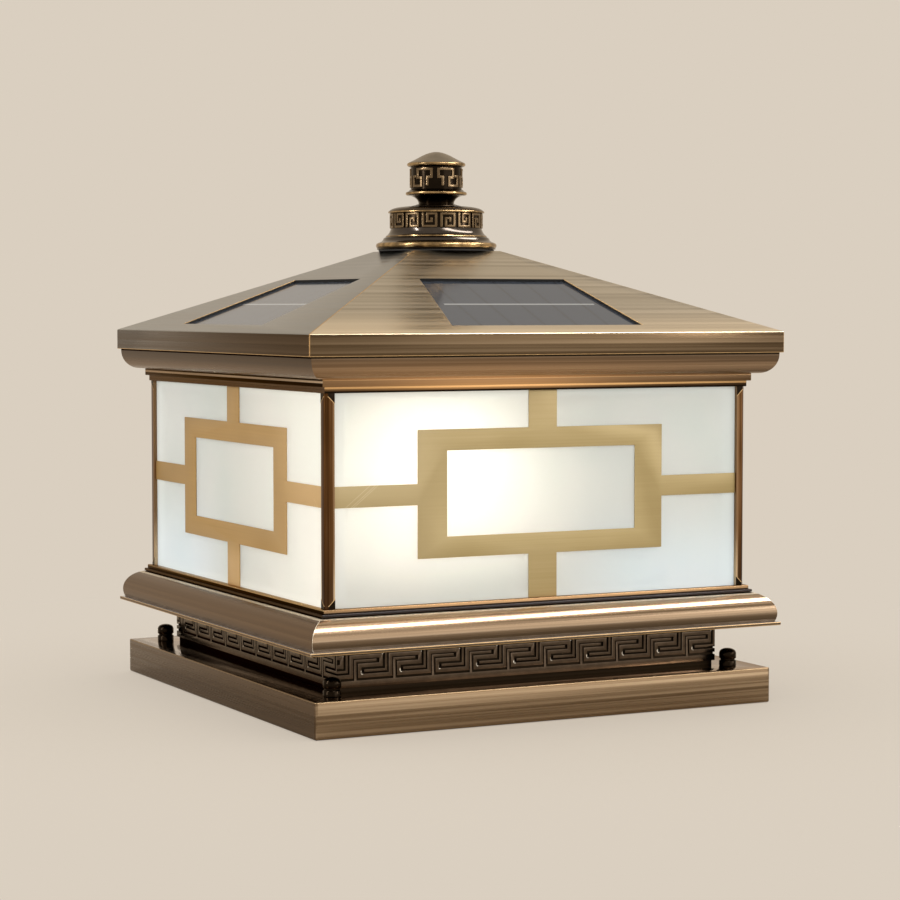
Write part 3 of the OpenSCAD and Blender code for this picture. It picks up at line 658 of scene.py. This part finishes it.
# A painted cool reflection, for the top of the sill's lip.
cool_painted_reflection = plain_metal("cool_painted_reflection", (0.80, 0.83, 0.90), 0.34, 0.6, 200)
dome_bronze = plain_metal("dome_bronze", (0.07, 0.05, 0.034), 0.24, 0.5, 220)
black_bronze = plain_metal("black_bronze", (0.016, 0.011, 0.007), 0.18, 0.5, 240)
polished = plain_metal("polished_bronze", (0.08, 0.067, 0.057), 0.16, 0.4, 120)
cap_bronze = plain_metal("cap_bronze", (0.27, 0.235, 0.185), 0.3, 0.4, 160)
antique_gold = plain_metal("antique_gold", (0.20, 0.14, 0.08), 0.26, 0.6, 420)
ring_gold = plain_metal("ring_gold", (0.46, 0.31, 0.15), 0.24, 0.9, 170, 0.35)
# Rubbed, lighter edges, which also stand in for painted highlight lines along lit edges.
rubbed_and_highlit = plain_metal("rubbed_and_highlit_edge", (0.62, 0.42, 0.21), 0.42, 0.4, 300)
dull_rubbed_and_highlit = plain_metal("dull_edge", (0.29, 0.20, 0.115), 0.36, 0.4, 300)
glint = plain_metal("glint_edge", (0.92, 0.84, 0.70), 0.4, 0.8, 900, 0.45)
brass = brass_sheet()
pane = frosted_glass()
laminate = solar_laminate()
# Black, painted into the roof window's recess as shadow.
recess_shadow = plastic("black_recess_shadow", (0.003, 0.003, 0.004), 0.8)
zinc = plain_metal("zinc_steel", (0.62, 0.62, 0.60), 0.34, 0.5, 90, 0.75)
white_paint = plastic("white_paint", (0.82, 0.82, 0.80), 0.5)
lit_white = lamp_lit_white()
aluminium = plain_metal("aluminium", (0.78, 0.79, 0.80), 0.3, 0.3, 120, 0.8)
opal = lit_globe()
black_plastic = plastic("black_plastic", (0.02, 0.02, 0.022), 0.42)
white_plastic = plastic("white_plastic", (0.80, 0.80, 0.78), 0.35)
cell_wrap = plastic("cell_wrap", (0.05, 0.28, 0.17), 0.3, 300)
rubber = plastic("rubber", (0.014, 0.014, 0.015), 0.65)

SLOT_FINISH = {
    "brushed_bronze": bronze, "dark_bronze": skirt_bronze, "black_bronze": black_bronze,
    "brushed_brass": brass, "frosted_pane": pane, "solar_cell": laminate, "zinc_steel": zinc,
    "white_paint": white_paint, "aluminium": aluminium, "opal_plastic": opal, "black_plastic": black_plastic,
    "white_plastic": white_plastic, "cell_wrap": cell_wrap, "rubber": rubber,
}


def finish_cad_nodes():
    """Gives every CAD piece the finish of its record slot."""
    for row in frame["record"]["subparts"]:
        node = frame["nodes"][row["node"]]
        finish = skirt_bronze if row["node"] == "skirt" else SLOT_FINISH[row["material_slot"]]
        if not node.data.materials:
            node.data.materials.append(finish)
        for i in range(len(node.data.materials)):
            node.data.materials[i] = finish


finish_cad_nodes()


# Camera, light and floor


def photo_camera():
    """The camera, as fitted to the photo."""
    bpy.ops.object.camera_add(location=(-0.7026, -1.3960, 0.2382),
                              rotation=(math.radians(86.72), 0, math.radians(-27.03)))
    camera = bpy.context.object
    camera.data.lens = 99.92
    camera.data.sensor_width = 36
    camera.data.clip_end = 60
    bpy.context.scene.camera = camera


def softbox(name, place, aim, wide, high, power, lights):
    """A flat lamp: one for the sheen is seen in the metal alone, and a fill isn't seen in it."""
    bpy.ops.object.light_add(type="AREA", location=place)
    lamp = bpy.context.object
    lamp.name = name
    lamp.data.shape = "RECTANGLE"
    lamp.data.size = wide
    lamp.data.size_y = high
    lamp.data.energy = power
    lamp.data.color = (1, 0.985, 0.96)
    lamp.rotation_euler = (Vector(aim) - Vector(place)).to_track_quat("-Z", "Y").to_euler()
    lamp.visible_diffuse = lights != "sheen"
    lamp.visible_transmission = lights != "sheen"
    lamp.visible_glossy = lights != "fill"


def studio():
    """Soft lamps, and a pale sky that looks beige to the camera and in the metal."""
    softbox("fill_front", (0.6, -2.4, 1.2), (0, 0, 0.15), 1.6, 1.0, 1, "fill")
    softbox("fill_left", (-2.6, 0.2, 1.0), (0, 0, 0.15), 1.4, 1.2, 4, "fill")
    softbox("broad_front", (1.2, -2.3, 0.6), (0, 0, 0.2), 1.8, 1.1, 9, "sheen")
    softbox("side_left", (-2.6, -0.15, 0.7), (0, 0, 0.2), 0.3, 0.9, 12, "sheen")
    softbox("side_right", (1.9, -1.7, 0.9), (0, 0, 0.2), 0.2, 0.8, 12, "sheen")
    softbox("strip_left", (-1.5, -0.15, 1.3), (0, 0, 0.28), 0.12, 0.6, 10, "sheen")
    softbox("strip_high_front", (0.8, -0.85, 1.6), (0, 0, 0.05), 2.6, 0.3, 42, "sheen")
    sky = Finish("studio", world=True)
    camera, glossy, through = (sky.add("LightPath", out=f"Is {kind} Ray")
                               for kind in ("Camera", "Glossy", "Transmission"))
    direct = camera.sum("MAXIMUM", camera, glossy)
    direct = direct.sum("MAXIMUM", direct, through)
    soft = sky.add("Background", {"Color": (0.90, 0.895, 0.885), "Strength": 1.15})
    backdrop = sky.add("Background", {"Color": BEIGE, "Strength": 1.0})
    bpy.context.scene.world = sky.end(sky.add("MixShader", {0: direct, 1: soft, 2: backdrop}))
    bpy.context.scene.view_settings.view_transform = "Standard"


def lay_floor():
    """A wide pale floor, a little below the part so that the two don't lie in one plane."""
    bpy.ops.object.select_all(action="DESELECT")
    bpy.ops.mesh.primitive_plane_add(size=8, location=(0, 0, -0.3 * MM))
    floor = bpy.context.object
    floor.name = "studio_floor"
    settle(floor)
    paint(floor, floor_beige())


photo_camera()
studio()
lay_floor()


# Plinth, nuts and skirt


def dress_plinth():
    """The bottom box: rounded corners, a rubbed upper rim that is partly a painted highlight line, and a
    glossy ledge.
    """
    shell = cast_from("plinth", "plinth_shell")
    paint(shell, plinth_bronze, dull_rubbed_and_highlit, ledge_bronze)

    def corner(edge):
        spot = middle(edge)
        return climb(edge) > 15 and min(abs(spot.x), abs(spot.y)) > PLINTH - 0.1

    def outer(edge):
        return reach(middle(edge)) > PLINTH - 2.2 and sharp(edge, 60)

    def rim(edge):
        return outer(edge) and middle(edge).z > LEDGE_Z - 0.1

    def foot(edge):
        return outer(edge) and middle(edge).z < 0.1

    ease(shell, 1.8, corner, 5)
    # The rim: rubbed, and partly a painted highlight line.
    ease(shell, 0.6, rim, 3, 1, hold=False)
    ease(shell, 0.8, foot, hold=False)
    stain(shell, 2, lambda f: f.normal.z > 0.99 and centre(f).z > LEDGE_Z - 0.05)
    smooth(shell)
    fit(shell, "lantern", "brushed_bronze", "plinth")


def turn_nuts():
    """Each nut: a neck, a drum and a low dome, over a collar with eased rims."""
    neck = LEDGE_Z + 3.6
    outline = [(3.05, neck), (4.2, neck), (4.4, neck + 0.2), (4.4, neck + 0.8), (4.9, neck + 1.0),
               (5.2, neck + 1.4), (5.2, neck + 4.3), (5.0, neck + 4.8)]
    outline += bow((0, neck + 4.8), 4.9, 2.4, 14, 90, 7)
    inside = [(0, neck + 5.3), (3.05, neck + 5.3), (3.05, neck)]
    collar_line = [(3.3, LEDGE_Z), (4.9, LEDGE_Z), (5.2, LEDGE_Z + 0.3), (5.2, LEDGE_Z + 3.1),
                   (4.8, neck), (3.3, neck), (3.3, LEDGE_Z)]
    for corner, (sx, sy) in CORNERS.items():
        at = (sx * NUT_PLACE, sy * NUT_PLACE)
        nut = turned(f"{corner}_dome_nut", outline + inside, 40, at)
        paint(nut, black_bronze)
        smooth(nut, 40)
        fit(nut, f"{corner}_nut", "black_bronze", f"{corner}_nut")
        collar = turned(f"{corner}_ring", collar_line, 40, at)
        paint(collar, black_bronze)
        smooth(collar, 40)
        fit(collar, "lantern", "black_bronze", f"{corner}_collar")


def dress_key_band():
    """A key band: worn, lighter rims on the raised key, partly a painted highlight, and a dark ground behind
    it.
    """
    band = cast_from("front_key_band", "front_band")
    paint(band, band_bronze, worn_and_highlit_edge, skirt_bronze)

    def relief_rim(edge):
        on_face = all(abs(v.co.y / MM + BAND_FACE) < 0.02 for v in edge.verts)
        return on_face and sharp(edge, 60)

    # The rims: worn and lighter, which also paints their highlight.
    ease(band, 0.4, relief_rim, 3, 1)
    stain(band, 2, lambda f: abs(centre(f).y + BAND_BACK) < 0.05 and f.normal.y < -0.9)
    smooth(band, 40)
    fit_round(band, SIDES, "band", "lantern", "dark_bronze", "key_band")


dress_plinth()
turn_nuts()
dress_key_band()


# Sill, frames, posts and windows


def dress_sill():
    """A sill: a rubbed lip whose lighter edges are partly a painted highlight, a painted cool reflection on
    top of it, and painted glints at the mitres and on the upper strip.
    """
    sill = cast_from("front_sill", "front_sill_moulding")
    paint(sill, sill_bronze, rubbed_and_highlit, glint, cool_painted_reflection)

    def lip(edge):
        spot = middle(edge)
        return sharp(edge, 40) and spot.y < -125 and abs(spot.x) < -spot.y - 0.02

    def mitre(edge):
        spot = middle(edge)
        return sharp(edge, 30) and spot.y < -136 and abs(abs(spot.x) + spot.y) < 0.01

    ease(sill, 0.45, lip, 2, 1)
    ease(sill, 0.4, mitre, 1, 2)
    # Painted glint along the upper strip of the round.
    stain(sill, 2, lambda f: 142 < -centre(f).y < 144.2 and centre(f).z > SILL_Z - 6.5)
    # Painted cool reflection on top of the lip.
    stain(sill, 3, lambda f: f.normal.z > 0.8 and -centre(f).y > 151 and centre(f).z < LIP_Z + 2)
    smooth(sill, 35)
    fit_round(sill, SIDES, "sill_moulding", "lantern", "brushed_bronze", "sill")


def whiten_behind(piece, place):
    """Paints white what stands behind the panes, as the inside of the lantern is, with a painted glow of the
    lamp's light.
    """
    stain(piece, place, lambda f: all(reach(v.co) < WHITE_INSIDE * MM for v in f.verts))


def dress_frames():
    """The stepped beads under and over the panes, with painted light and shade, and white with a painted
    glow where they stand behind them.
    """
    for node, finish in (("lower_frame", lower_beads), ("upper_frame", upper_beads)):
        ring = cast_from(node, node + "_beads")
        paint(ring, finish, lit_white)
        ease(ring, 0.4, lambda edge: sharp(edge, 60) and reach(middle(edge)) > POST + 0.3, 3)
        whiten_behind(ring, 1)
        smooth(ring, 35)
        fit(ring, "lantern", "brushed_bronze", node)


def post_finish():
    """Bronze brushed up and down, for the posts: lighter by the panes and darker near the foot."""
    finish = Finish("post_bronze")
    x, y, z = finish.place()
    hair = finish.grain(x * 1500, y * 1500, z * 9, 3.0, 0.6)
    cloud = finish.grain(x * 60, y * 60, z * 14, 2.0)
    tone = finish.add("ValToRGB", {0: hair * 0.5 + cloud * 0.5},
                      stops=[(0.35, (0.045, 0.02, 0.006)), (0.5, (0.09, 0.04, 0.013)),
                             (0.65, (0.17, 0.09, 0.04))])
    nearer = abs(x).sum("MINIMUM", abs(x), abs(y))
    by_pane = 1 - nearer.over(0.1331, 0.1342)
    low = 1 - z.over(0.078, 0.108)
    tone = finish.mix(low * 0.6, tone, (0.03, 0.015, 0.008))
    tone = finish.mix(by_pane * 0.8, tone, finish.mix(low, (0.26, 0.16, 0.085), (0.62, 0.45, 0.28)))
    bump = finish.add("Bump", {"Strength": 0.2, "Distance": 0.0001, "Height": hair})
    return finish.coat(base_color=tone, metallic=1.0, roughness=hair * 0.2 + 0.2, normal=bump)


def dress_posts():
    """A post: a rounded arris, and a mitre line across each end, with the triangle beyond it painted black as
    shade and a rubbed line along it that is partly a painted highlight.
    """
    post = cast_from("front_left_post", "front_left_upright")
    paint(post, post_finish(), rubbed_and_highlit, lit_white, black_bronze)
    inner, outside = POST - POST_FACE, POST - 0.5
    mitre = (5.5, 6.0)

    for axis in (0, 1):
        across = Vector((1, 0, 0)) if axis == 0 else Vector((0, 1, 0))
        for end, up in ((PANE_Z, 1), (RAIL_Z, -1)):
            for inset in mitre:
                start = -across * inner * MM + Vector((0, 0, (end + up * inset) * MM))
                open_up(post)
                pick("FACE", lambda f: f.normal[1 - axis] < -0.95 and centre(f)[1 - axis] < -outside)
                bpy.ops.mesh.bisect(plane_co=start, plane_no=across + Vector((0, 0, -up)))
                close_up()

    def from_end(face):
        spot = centre(face)
        run = inner + (spot.x if face.normal.y < -0.9 else spot.y)
        return min(spot.z - PANE_Z, RAIL_Z - spot.z) - run

    def outer_face(face):
        return min(face.normal.x, face.normal.y) < -0.95 and reach(centre(face)) > outside

    ease(post, 0.45, lambda edge: climb(edge) > 50 and sharp(edge) and reach(middle(edge)) > POST - 0.1, 3)
    # The triangle at each end: painted shade.
    stain(post, 3, lambda f: outer_face(f) and from_end(f) < mitre[0])
    # The line along the mitre: rubbed, and partly a painted highlight.
    stain(post, 1, lambda f: outer_face(f) and mitre[0] < from_end(f) < mitre[1])
    whiten_behind(post, 2)
    smooth(post, 35)
    fit_round(post, tuple(CORNERS), "upright", "lantern", "dark_bronze", "post")


def dress_frets():
    """A fret: one brass plate with its edges just eased."""
    fret = cast_from("front_fret", "front_fret_plate")
    paint(fret, brass)
    ease(fret, 0.18, lambda edge: sharp(edge, 60))
    smooth(fret, 35)
    fit_round(fret, SIDES, "fret_plate", "lantern", "brushed_brass", "fret")


dress_sill()
dress_frames()
dress_posts()
dress_frets()


# Roof


def on_slope(spot):
    """How far up the front slope a spot is, and how far out of it, in millimetres."""
    back, rise = spot.y + ROOF, spot.z - SLOPE_Z
    up = back * math.cos(ROOF_ANGLE) + rise * math.sin(ROOF_ANGLE)
    out = rise * math.cos(ROOF_ANGLE) - back * math.sin(ROOF_ANGLE)
    return up, out


def dress_eave():
    """The cove under the roof, with a painted shadow along its top under the fascia."""
    eave = cast_from("eave_moulding", "eave_cove")
    paint(eave, eave_bronze, skirt_bronze)
    # Painted shadow under the fascia.
    stain(eave, 1, lambda f: centre(f).z > FASCIA_Z - 1.2 and abs(f.normal.z) < 0.5)
    smooth(eave, 35)
    fit(eave, "roof", "brushed_bronze", "eave_moulding")


def dress_roof():
    """A slope with its fascia: rubbed hips, foot and window rims that are partly painted highlights, and
    the window's walls painted black as shadow.
    """
    panel = cast_from("front_roof_panel", "front_slope")
    paint(panel, roof_bronze, rubbed_and_highlit, recess_shadow, bronze)

    def fold(edge):
        spot = middle(edge)
        return abs(spot.y + ROOF) < 0.05 and abs(spot.z - SLOPE_Z) < 0.05 and sharp(edge, 40)

    def thin_rims(edge):
        spot = middle(edge)
        _, out = on_slope(spot)
        hip = abs(abs(spot.x) + spot.y) < 0.02 and (abs(out) < 0.05 or abs(spot.y + ROOF) < 0.6)
        foot = abs(spot.z - FASCIA_Z) < 0.05 and abs(spot.y + ROOF) < 0.05
        return sharp(edge, 30) and (hip or foot)

    def window_rims(edge):
        spot = middle(edge)
        up, out = on_slope(spot)
        window = abs(out) < 0.05 and 5 < up < WINDOW_UP + WINDOW_LEN - 1
        return sharp(edge, 30) and window and abs(abs(spot.x) + spot.y) > 0.5

    ease(panel, 0.6, fold, 4)
    ease(panel, 0.4, thin_rims, 2, 1)
    ease(panel, 0.8, window_rims, 2, 1)

    def pocket_wall(face):
        up, out = on_slope(centre(face))
        slope_normal = Vector((0, -math.sin(ROOF_ANGLE), math.cos(ROOF_ANGLE)))
        wide = abs(centre(face).x) < WINDOW_LOW / 2 + 1
        inside = WINDOW_UP - 1 < up < WINDOW_UP + WINDOW_LEN + 1 and wide
        return inside and 0.05 - WINDOW_DEEP < out < -0.25 and abs(face.normal.dot(slope_normal)) < 0.5

    # The window's walls: painted shadow.
    stain(panel, 2, pocket_wall)
    stain(panel, 3, lambda f: abs(f.normal.y) > 0.98 and abs(centre(f).y + ROOF) < 0.05)
    smooth(panel, 30)
    fit_round(panel, SIDES, "slope", "roof", "brushed_bronze", "roof_panel")


dress_eave()
dress_roof()


# Finial


def key_strip(name, length, high, thick, bars, repeats):
    """A flat strip of raised bars: one unit cut by bisecting a sheet, raised, then repeated."""
    unit = length / repeats
    bpy.ops.object.select_all(action="DESELECT")
    bpy.ops.mesh.primitive_plane_add(size=1, location=(unit / 2 * MM, 0, high / 2 * MM),
                                     rotation=(math.pi / 2, 0, 0))
    strip = bpy.context.object
    strip.name = name
    strip.scale = (unit * MM, high * MM, 1)
    settle(strip)
    across = sorted({round(v * unit, 4) for bar in bars for v in bar[:2]})
    upright = sorted({round(v * high, 4) for bar in bars for v in bar[2:]})
    open_up(strip)
    for way, cuts, span in ((Vector((1, 0, 0)), across, unit), (Vector((0, 0, 1)), upright, high)):
        for cut in cuts:
            if 0.001 < cut < span - 0.001:
                bpy.ops.mesh.select_all(action="SELECT")
                bpy.ops.mesh.bisect(plane_co=way * (cut * MM), plane_no=way)

    def in_bars(face):
        spot = centre(face)
        return any(x0 * unit < spot.x < x1 * unit and z0 * high < spot.z < z1 * high
                   for x0, x1, z0, z1 in bars)

    pick("FACE", lambda face: not in_bars(face))
    bpy.ops.mesh.delete(type="FACE")
    bpy.ops.mesh.select_all(action="SELECT")
    bpy.ops.mesh.extrude_region_move(TRANSFORM_OT_translate={"value": (0, -thick * MM, 0)})
    close_up()
    mend(strip)

    def rim(edge):
        return all(abs(v.co.y + thick * MM) < 0.00001 for v in edge.verts) and sharp(edge, 60)

    ease(strip, thick * 0.34, rim, 2, 1)
    choose(strip)
    array = strip.modifiers.new("repeat", "ARRAY")
    array.use_relative_offset = False
    array.use_constant_offset = True
    array.constant_offset_displace = (unit * MM, 0, 0)
    array.count = repeats
    bpy.ops.object.modifier_apply(modifier=array.name)
    return strip


def wrap(strip, length, foot):
    """Bends a flat strip into a ring about the upright axis."""
    strip.location = (-length / 2 * MM, 0, 0)
    settle(strip)
    bend = strip.modifiers.new("wrap", "SIMPLE_DEFORM")
    bend.deform_method = "BEND"
    bend.deform_axis = "Z"
    bend.angle = 2 * math.pi
    choose(strip)
    bpy.ops.object.modifier_apply(modifier=bend.name)
    spots = [v.co.copy() for v in strip.data.vertices]
    mid_x = (min(s.x for s in spots) + max(s.x for s in spots)) / 2
    mid_y = (min(s.y for s in spots) + max(s.y for s in spots)) / 2
    strip.location = (-mid_x, -mid_y, foot * MM)
    settle(strip)


# The bars of the lower band's key: from and to across in parts of a unit, and up in parts of the band
SPIRAL = [
    (0.02, 0.085, 0.0, 1.0), (0.02, 0.44, 0.0, 0.15), (0.375, 0.44, 0.0, 1.0), (0.14, 0.44, 0.85, 1.0),
    (0.14, 0.205, 0.32, 1.0), (0.14, 0.32, 0.32, 0.46), (0.255, 0.32, 0.32, 0.66),
]
FLIPPED = [(x0 + 0.5, x1 + 0.5, 1 - z1, 1 - z0) for x0, x1, z0, z1 in SPIRAL]

# The middle line of the knob's key, in the same parts
HOOK_LINE = [(0.138, 0.17), (0.138, 0.52), (0.062, 0.52), (0.062, 0.90), (0.345, 0.90), (0.345, 0.50),
             (0.26, 0.50), (0.26, 0.12), (0.455, 0.12), (0.455, 0.56), (0.40, 0.56)]


def bars_along(line, half_x, half_z):
    """Upright and level bars along a stepped line."""
    return [(min(a[0], b[0]) - half_x, max(a[0], b[0]) + half_x,
             min(a[1], b[1]) - half_z, max(a[1], b[1]) + half_z) for a, b in zip(line, line[1:])]


HOOKS = bars_along(HOOK_LINE, 0.024, 0.06)
HOOKS += [(1 - x1, 1 - x0, z0, z1) for x0, x1, z0, z1 in HOOKS]


def ring_of_keys(name, radius, foot, high, thick, bars, repeats, twist=0):
    """A band of keys wrapped round the finial."""
    length = 2 * math.pi * radius
    keys = key_strip(name, length, high, thick, bars, repeats)
    wrap(keys, length, foot)
    keys.rotation_euler.z = math.radians(twist)
    settle(keys)
    paint(keys, antique_gold, ring_gold)
    smooth(keys, 40)
    fit(keys, "finial", "black_bronze")


def stain_rings(piece, foot, *rings):
    """Gives each ring its finish; a ring is its low and high end over the foot, least radius and place."""
    for low, high, least, place in rings:
        stain(piece, place, lambda f: low < centre(f).z - foot < high and centre(f).xy.length > least)


def turn_base():
    """The finial's base, up from the roof: a gold lip, polished steps, a ground for keys and a dome."""
    z = FINIAL_Z
    base_line = [(4.05, z), (36.4, z), (37.0, z + 0.4)]
    base_line += bow((36.0, z + 2.6), 1.6, 1.7, -50, 66)
    base_line += [(35.6, z + 4.6), (34.2, z + 5.2), (33.3, z + 6.1), (33.0, z + 6.9), (32.6, z + 7.4),
                  (31.9, z + 7.6), (31.6, z + 8.0), (31.4, z + 8.6), (30.9, z + 8.9), (30.3, z + 9.4),
                  (29.5, z + 10.4), (28.9, z + 11.6), (28.5, z + 12.7), (BASE_KEYS, z + 13.3),
                  (BASE_KEYS, z + 22.4), (28.6, z + 22.6), (29.4, z + 22.7), (29.9, z + 22.9),
                  (30.0, z + 23.3), (29.8, z + 23.8)]
    base_line += bow((16, z + 23.9), 13.2, 3.0, 8, 90)
    base_line += [(6.05, z + 26.9), (6.05, z + 18.9), (4.05, z + 18.9), (4.05, z)]
    base = turned("finial_base_turning", base_line, 96)
    paint(base, black_bronze, ring_gold, dome_bronze, polished)
    stain_rings(base, z, (1.0, 4.3, 35, 1), (4.3, 7.1, 30, 3), (7.9, 8.7, 30, 1),
                (8.7, 13.2, 27, 3), (22.6, 23.9, 29, 1), (23.9, 26.95, 11, 2))
    smooth(base, 38)
    fit(base, "finial", "black_bronze", "finial_base")


def turn_knob():
    """The knob: a waist, a gold bead under and over its ground for keys, and a pointed cap."""
    k = KNOB_Z
    knob_line = [(0, k), (15.6, k), (15.4, k + 0.4), (13.4, k + 0.8), (11.8, k + 1.5)]
    knob_line += bow((18.4, k + 1.6), 7.4, 5.4, 180, 100)
    knob_line += [(18.4, k + 7.0), (18.9, k + 7.4), (19.1, k + 8.0), (18.9, k + 8.7), (18.2, k + 9.1),
                  (17.2, k + 9.5), (16.6, k + 10.3), (KNOB_KEYS, k + 10.6), (KNOB_KEYS, k + 24.2),
                  (16.6, k + 24.5), (17.6, k + 24.9), (18.1, k + 25.5), (18.2, k + 26.1), (17.9, k + 26.8),
                  (17.0, k + 27.3), (14.2, k + 28.6), (11.6, k + 30.0), (9.2, k + 31.3), (6.6, k + 32.5),
                  (4.2, k + 33.3), (2.0, k + 33.8), (0, k + 33.9)]
    knob = turned("finial_knob_turning", knob_line, 80)
    paint(knob, black_bronze, ring_gold, cap_bronze)
    stain_rings(knob, k, (7.0, 8.8, 17.2, 1), (24.9, 27.0, 17.2, 1), (27.0, 34.0, 0, 2))
    smooth(knob, 38)
    fit(knob, "finial", "black_bronze", "finial_knob")


turn_base()
ring_of_keys("finial_base_keys", BASE_KEYS, FINIAL_Z + 13.35, 9.0, 1.0, SPIRAL + FLIPPED, 8)
turn_knob()
ring_of_keys("finial_knob_keys", KNOB_KEYS, KNOB_Z + 10.8, 13.2, 1.1, HOOKS, 3, twist=32)


# Inside and behind


def long_edge(edge):
    """Whether an edge is over 20 mm long, so not one of a small hole."""
    return edge.calc_length() > 20 * MM


def soften(node, name, body, slot, width, test, steps=2):
    """A copy of a CAD piece with some of its edges rounded, in its place."""
    piece = cast_from(node, name)
    paint(piece, SLOT_FINISH[slot])
    ease(piece, width, lambda edge: sharp(edge, 60) and test(edge), steps)
    smooth(piece, 35)
    fit(piece, body, slot, node)
    return piece


def cut_thread():
    """The finial's stud: a tail under the bar, a flange on it and a thread up to the finial."""
    low, top = STUD_FLANGE, STUD_FLANGE + 3
    line = [(0, STUD_FOOT), (3.5, STUD_FOOT), (4.0, STUD_FOOT + 0.5), (4.0, low), (8.7, low),
            (9.0, low + 0.3), (9.0, top - 0.3), (8.7, top), (4.0, top)]
    for turn in range(THREAD_TURNS):
        z = top + 0.8 + THREAD_PITCH * turn
        line += [(4.0, z), (3.45, z + 0.62)]
    line += [(3.4, STUD_TOP), (0, STUD_TOP)]
    stud = turned("finial_thread", line, 32)
    paint(stud, zinc)
    smooth(stud, 30)
    fit(stud, "lantern", "zinc_steel", "finial_stud")


def dress_screws():
    """The deck's screws: domed heads with a round socket sunk in each."""
    screws = soften("deck_screws", "deck_pan_screws", "lantern", "zinc_steel", 0.9,
                    lambda edge: middle(edge).z > SCREW_TOP - 0.1, 4)
    open_up(screws)
    pick("FACE", lambda f: f.normal.z > 0.99 and centre(f).z > SCREW_TOP - 0.1)
    bpy.ops.mesh.inset(thickness=1.2 * MM, use_individual=True)
    bpy.ops.mesh.extrude_region_move(TRANSFORM_OT_translate={"value": (0, 0, -0.8 * MM)})
    close_up()


cut_thread()
dress_screws()
soften("switch_body", "switch_bezel", "lantern", "black_plastic", 0.5, lambda edge: middle(edge).y > 151.4, 3)
soften("push_button", "button_cap", "push_button", "white_plastic", 0.9,
       lambda edge: middle(edge).y > 153.7, 4)
soften("lamp_column", "lamp_pedestal", "lantern", "aluminium", 0.7, lambda edge: middle(edge).z > 70, 3)
soften("cross_bar", "roof_cross_bar", "lantern", "zinc_steel", 0.5, long_edge)
soften("battery_box", "battery_case", "lantern", "black_plastic", 0.5, long_edge)
soften("controller_box", "controller_case", "lantern", "black_plastic", 0.5, long_edge)
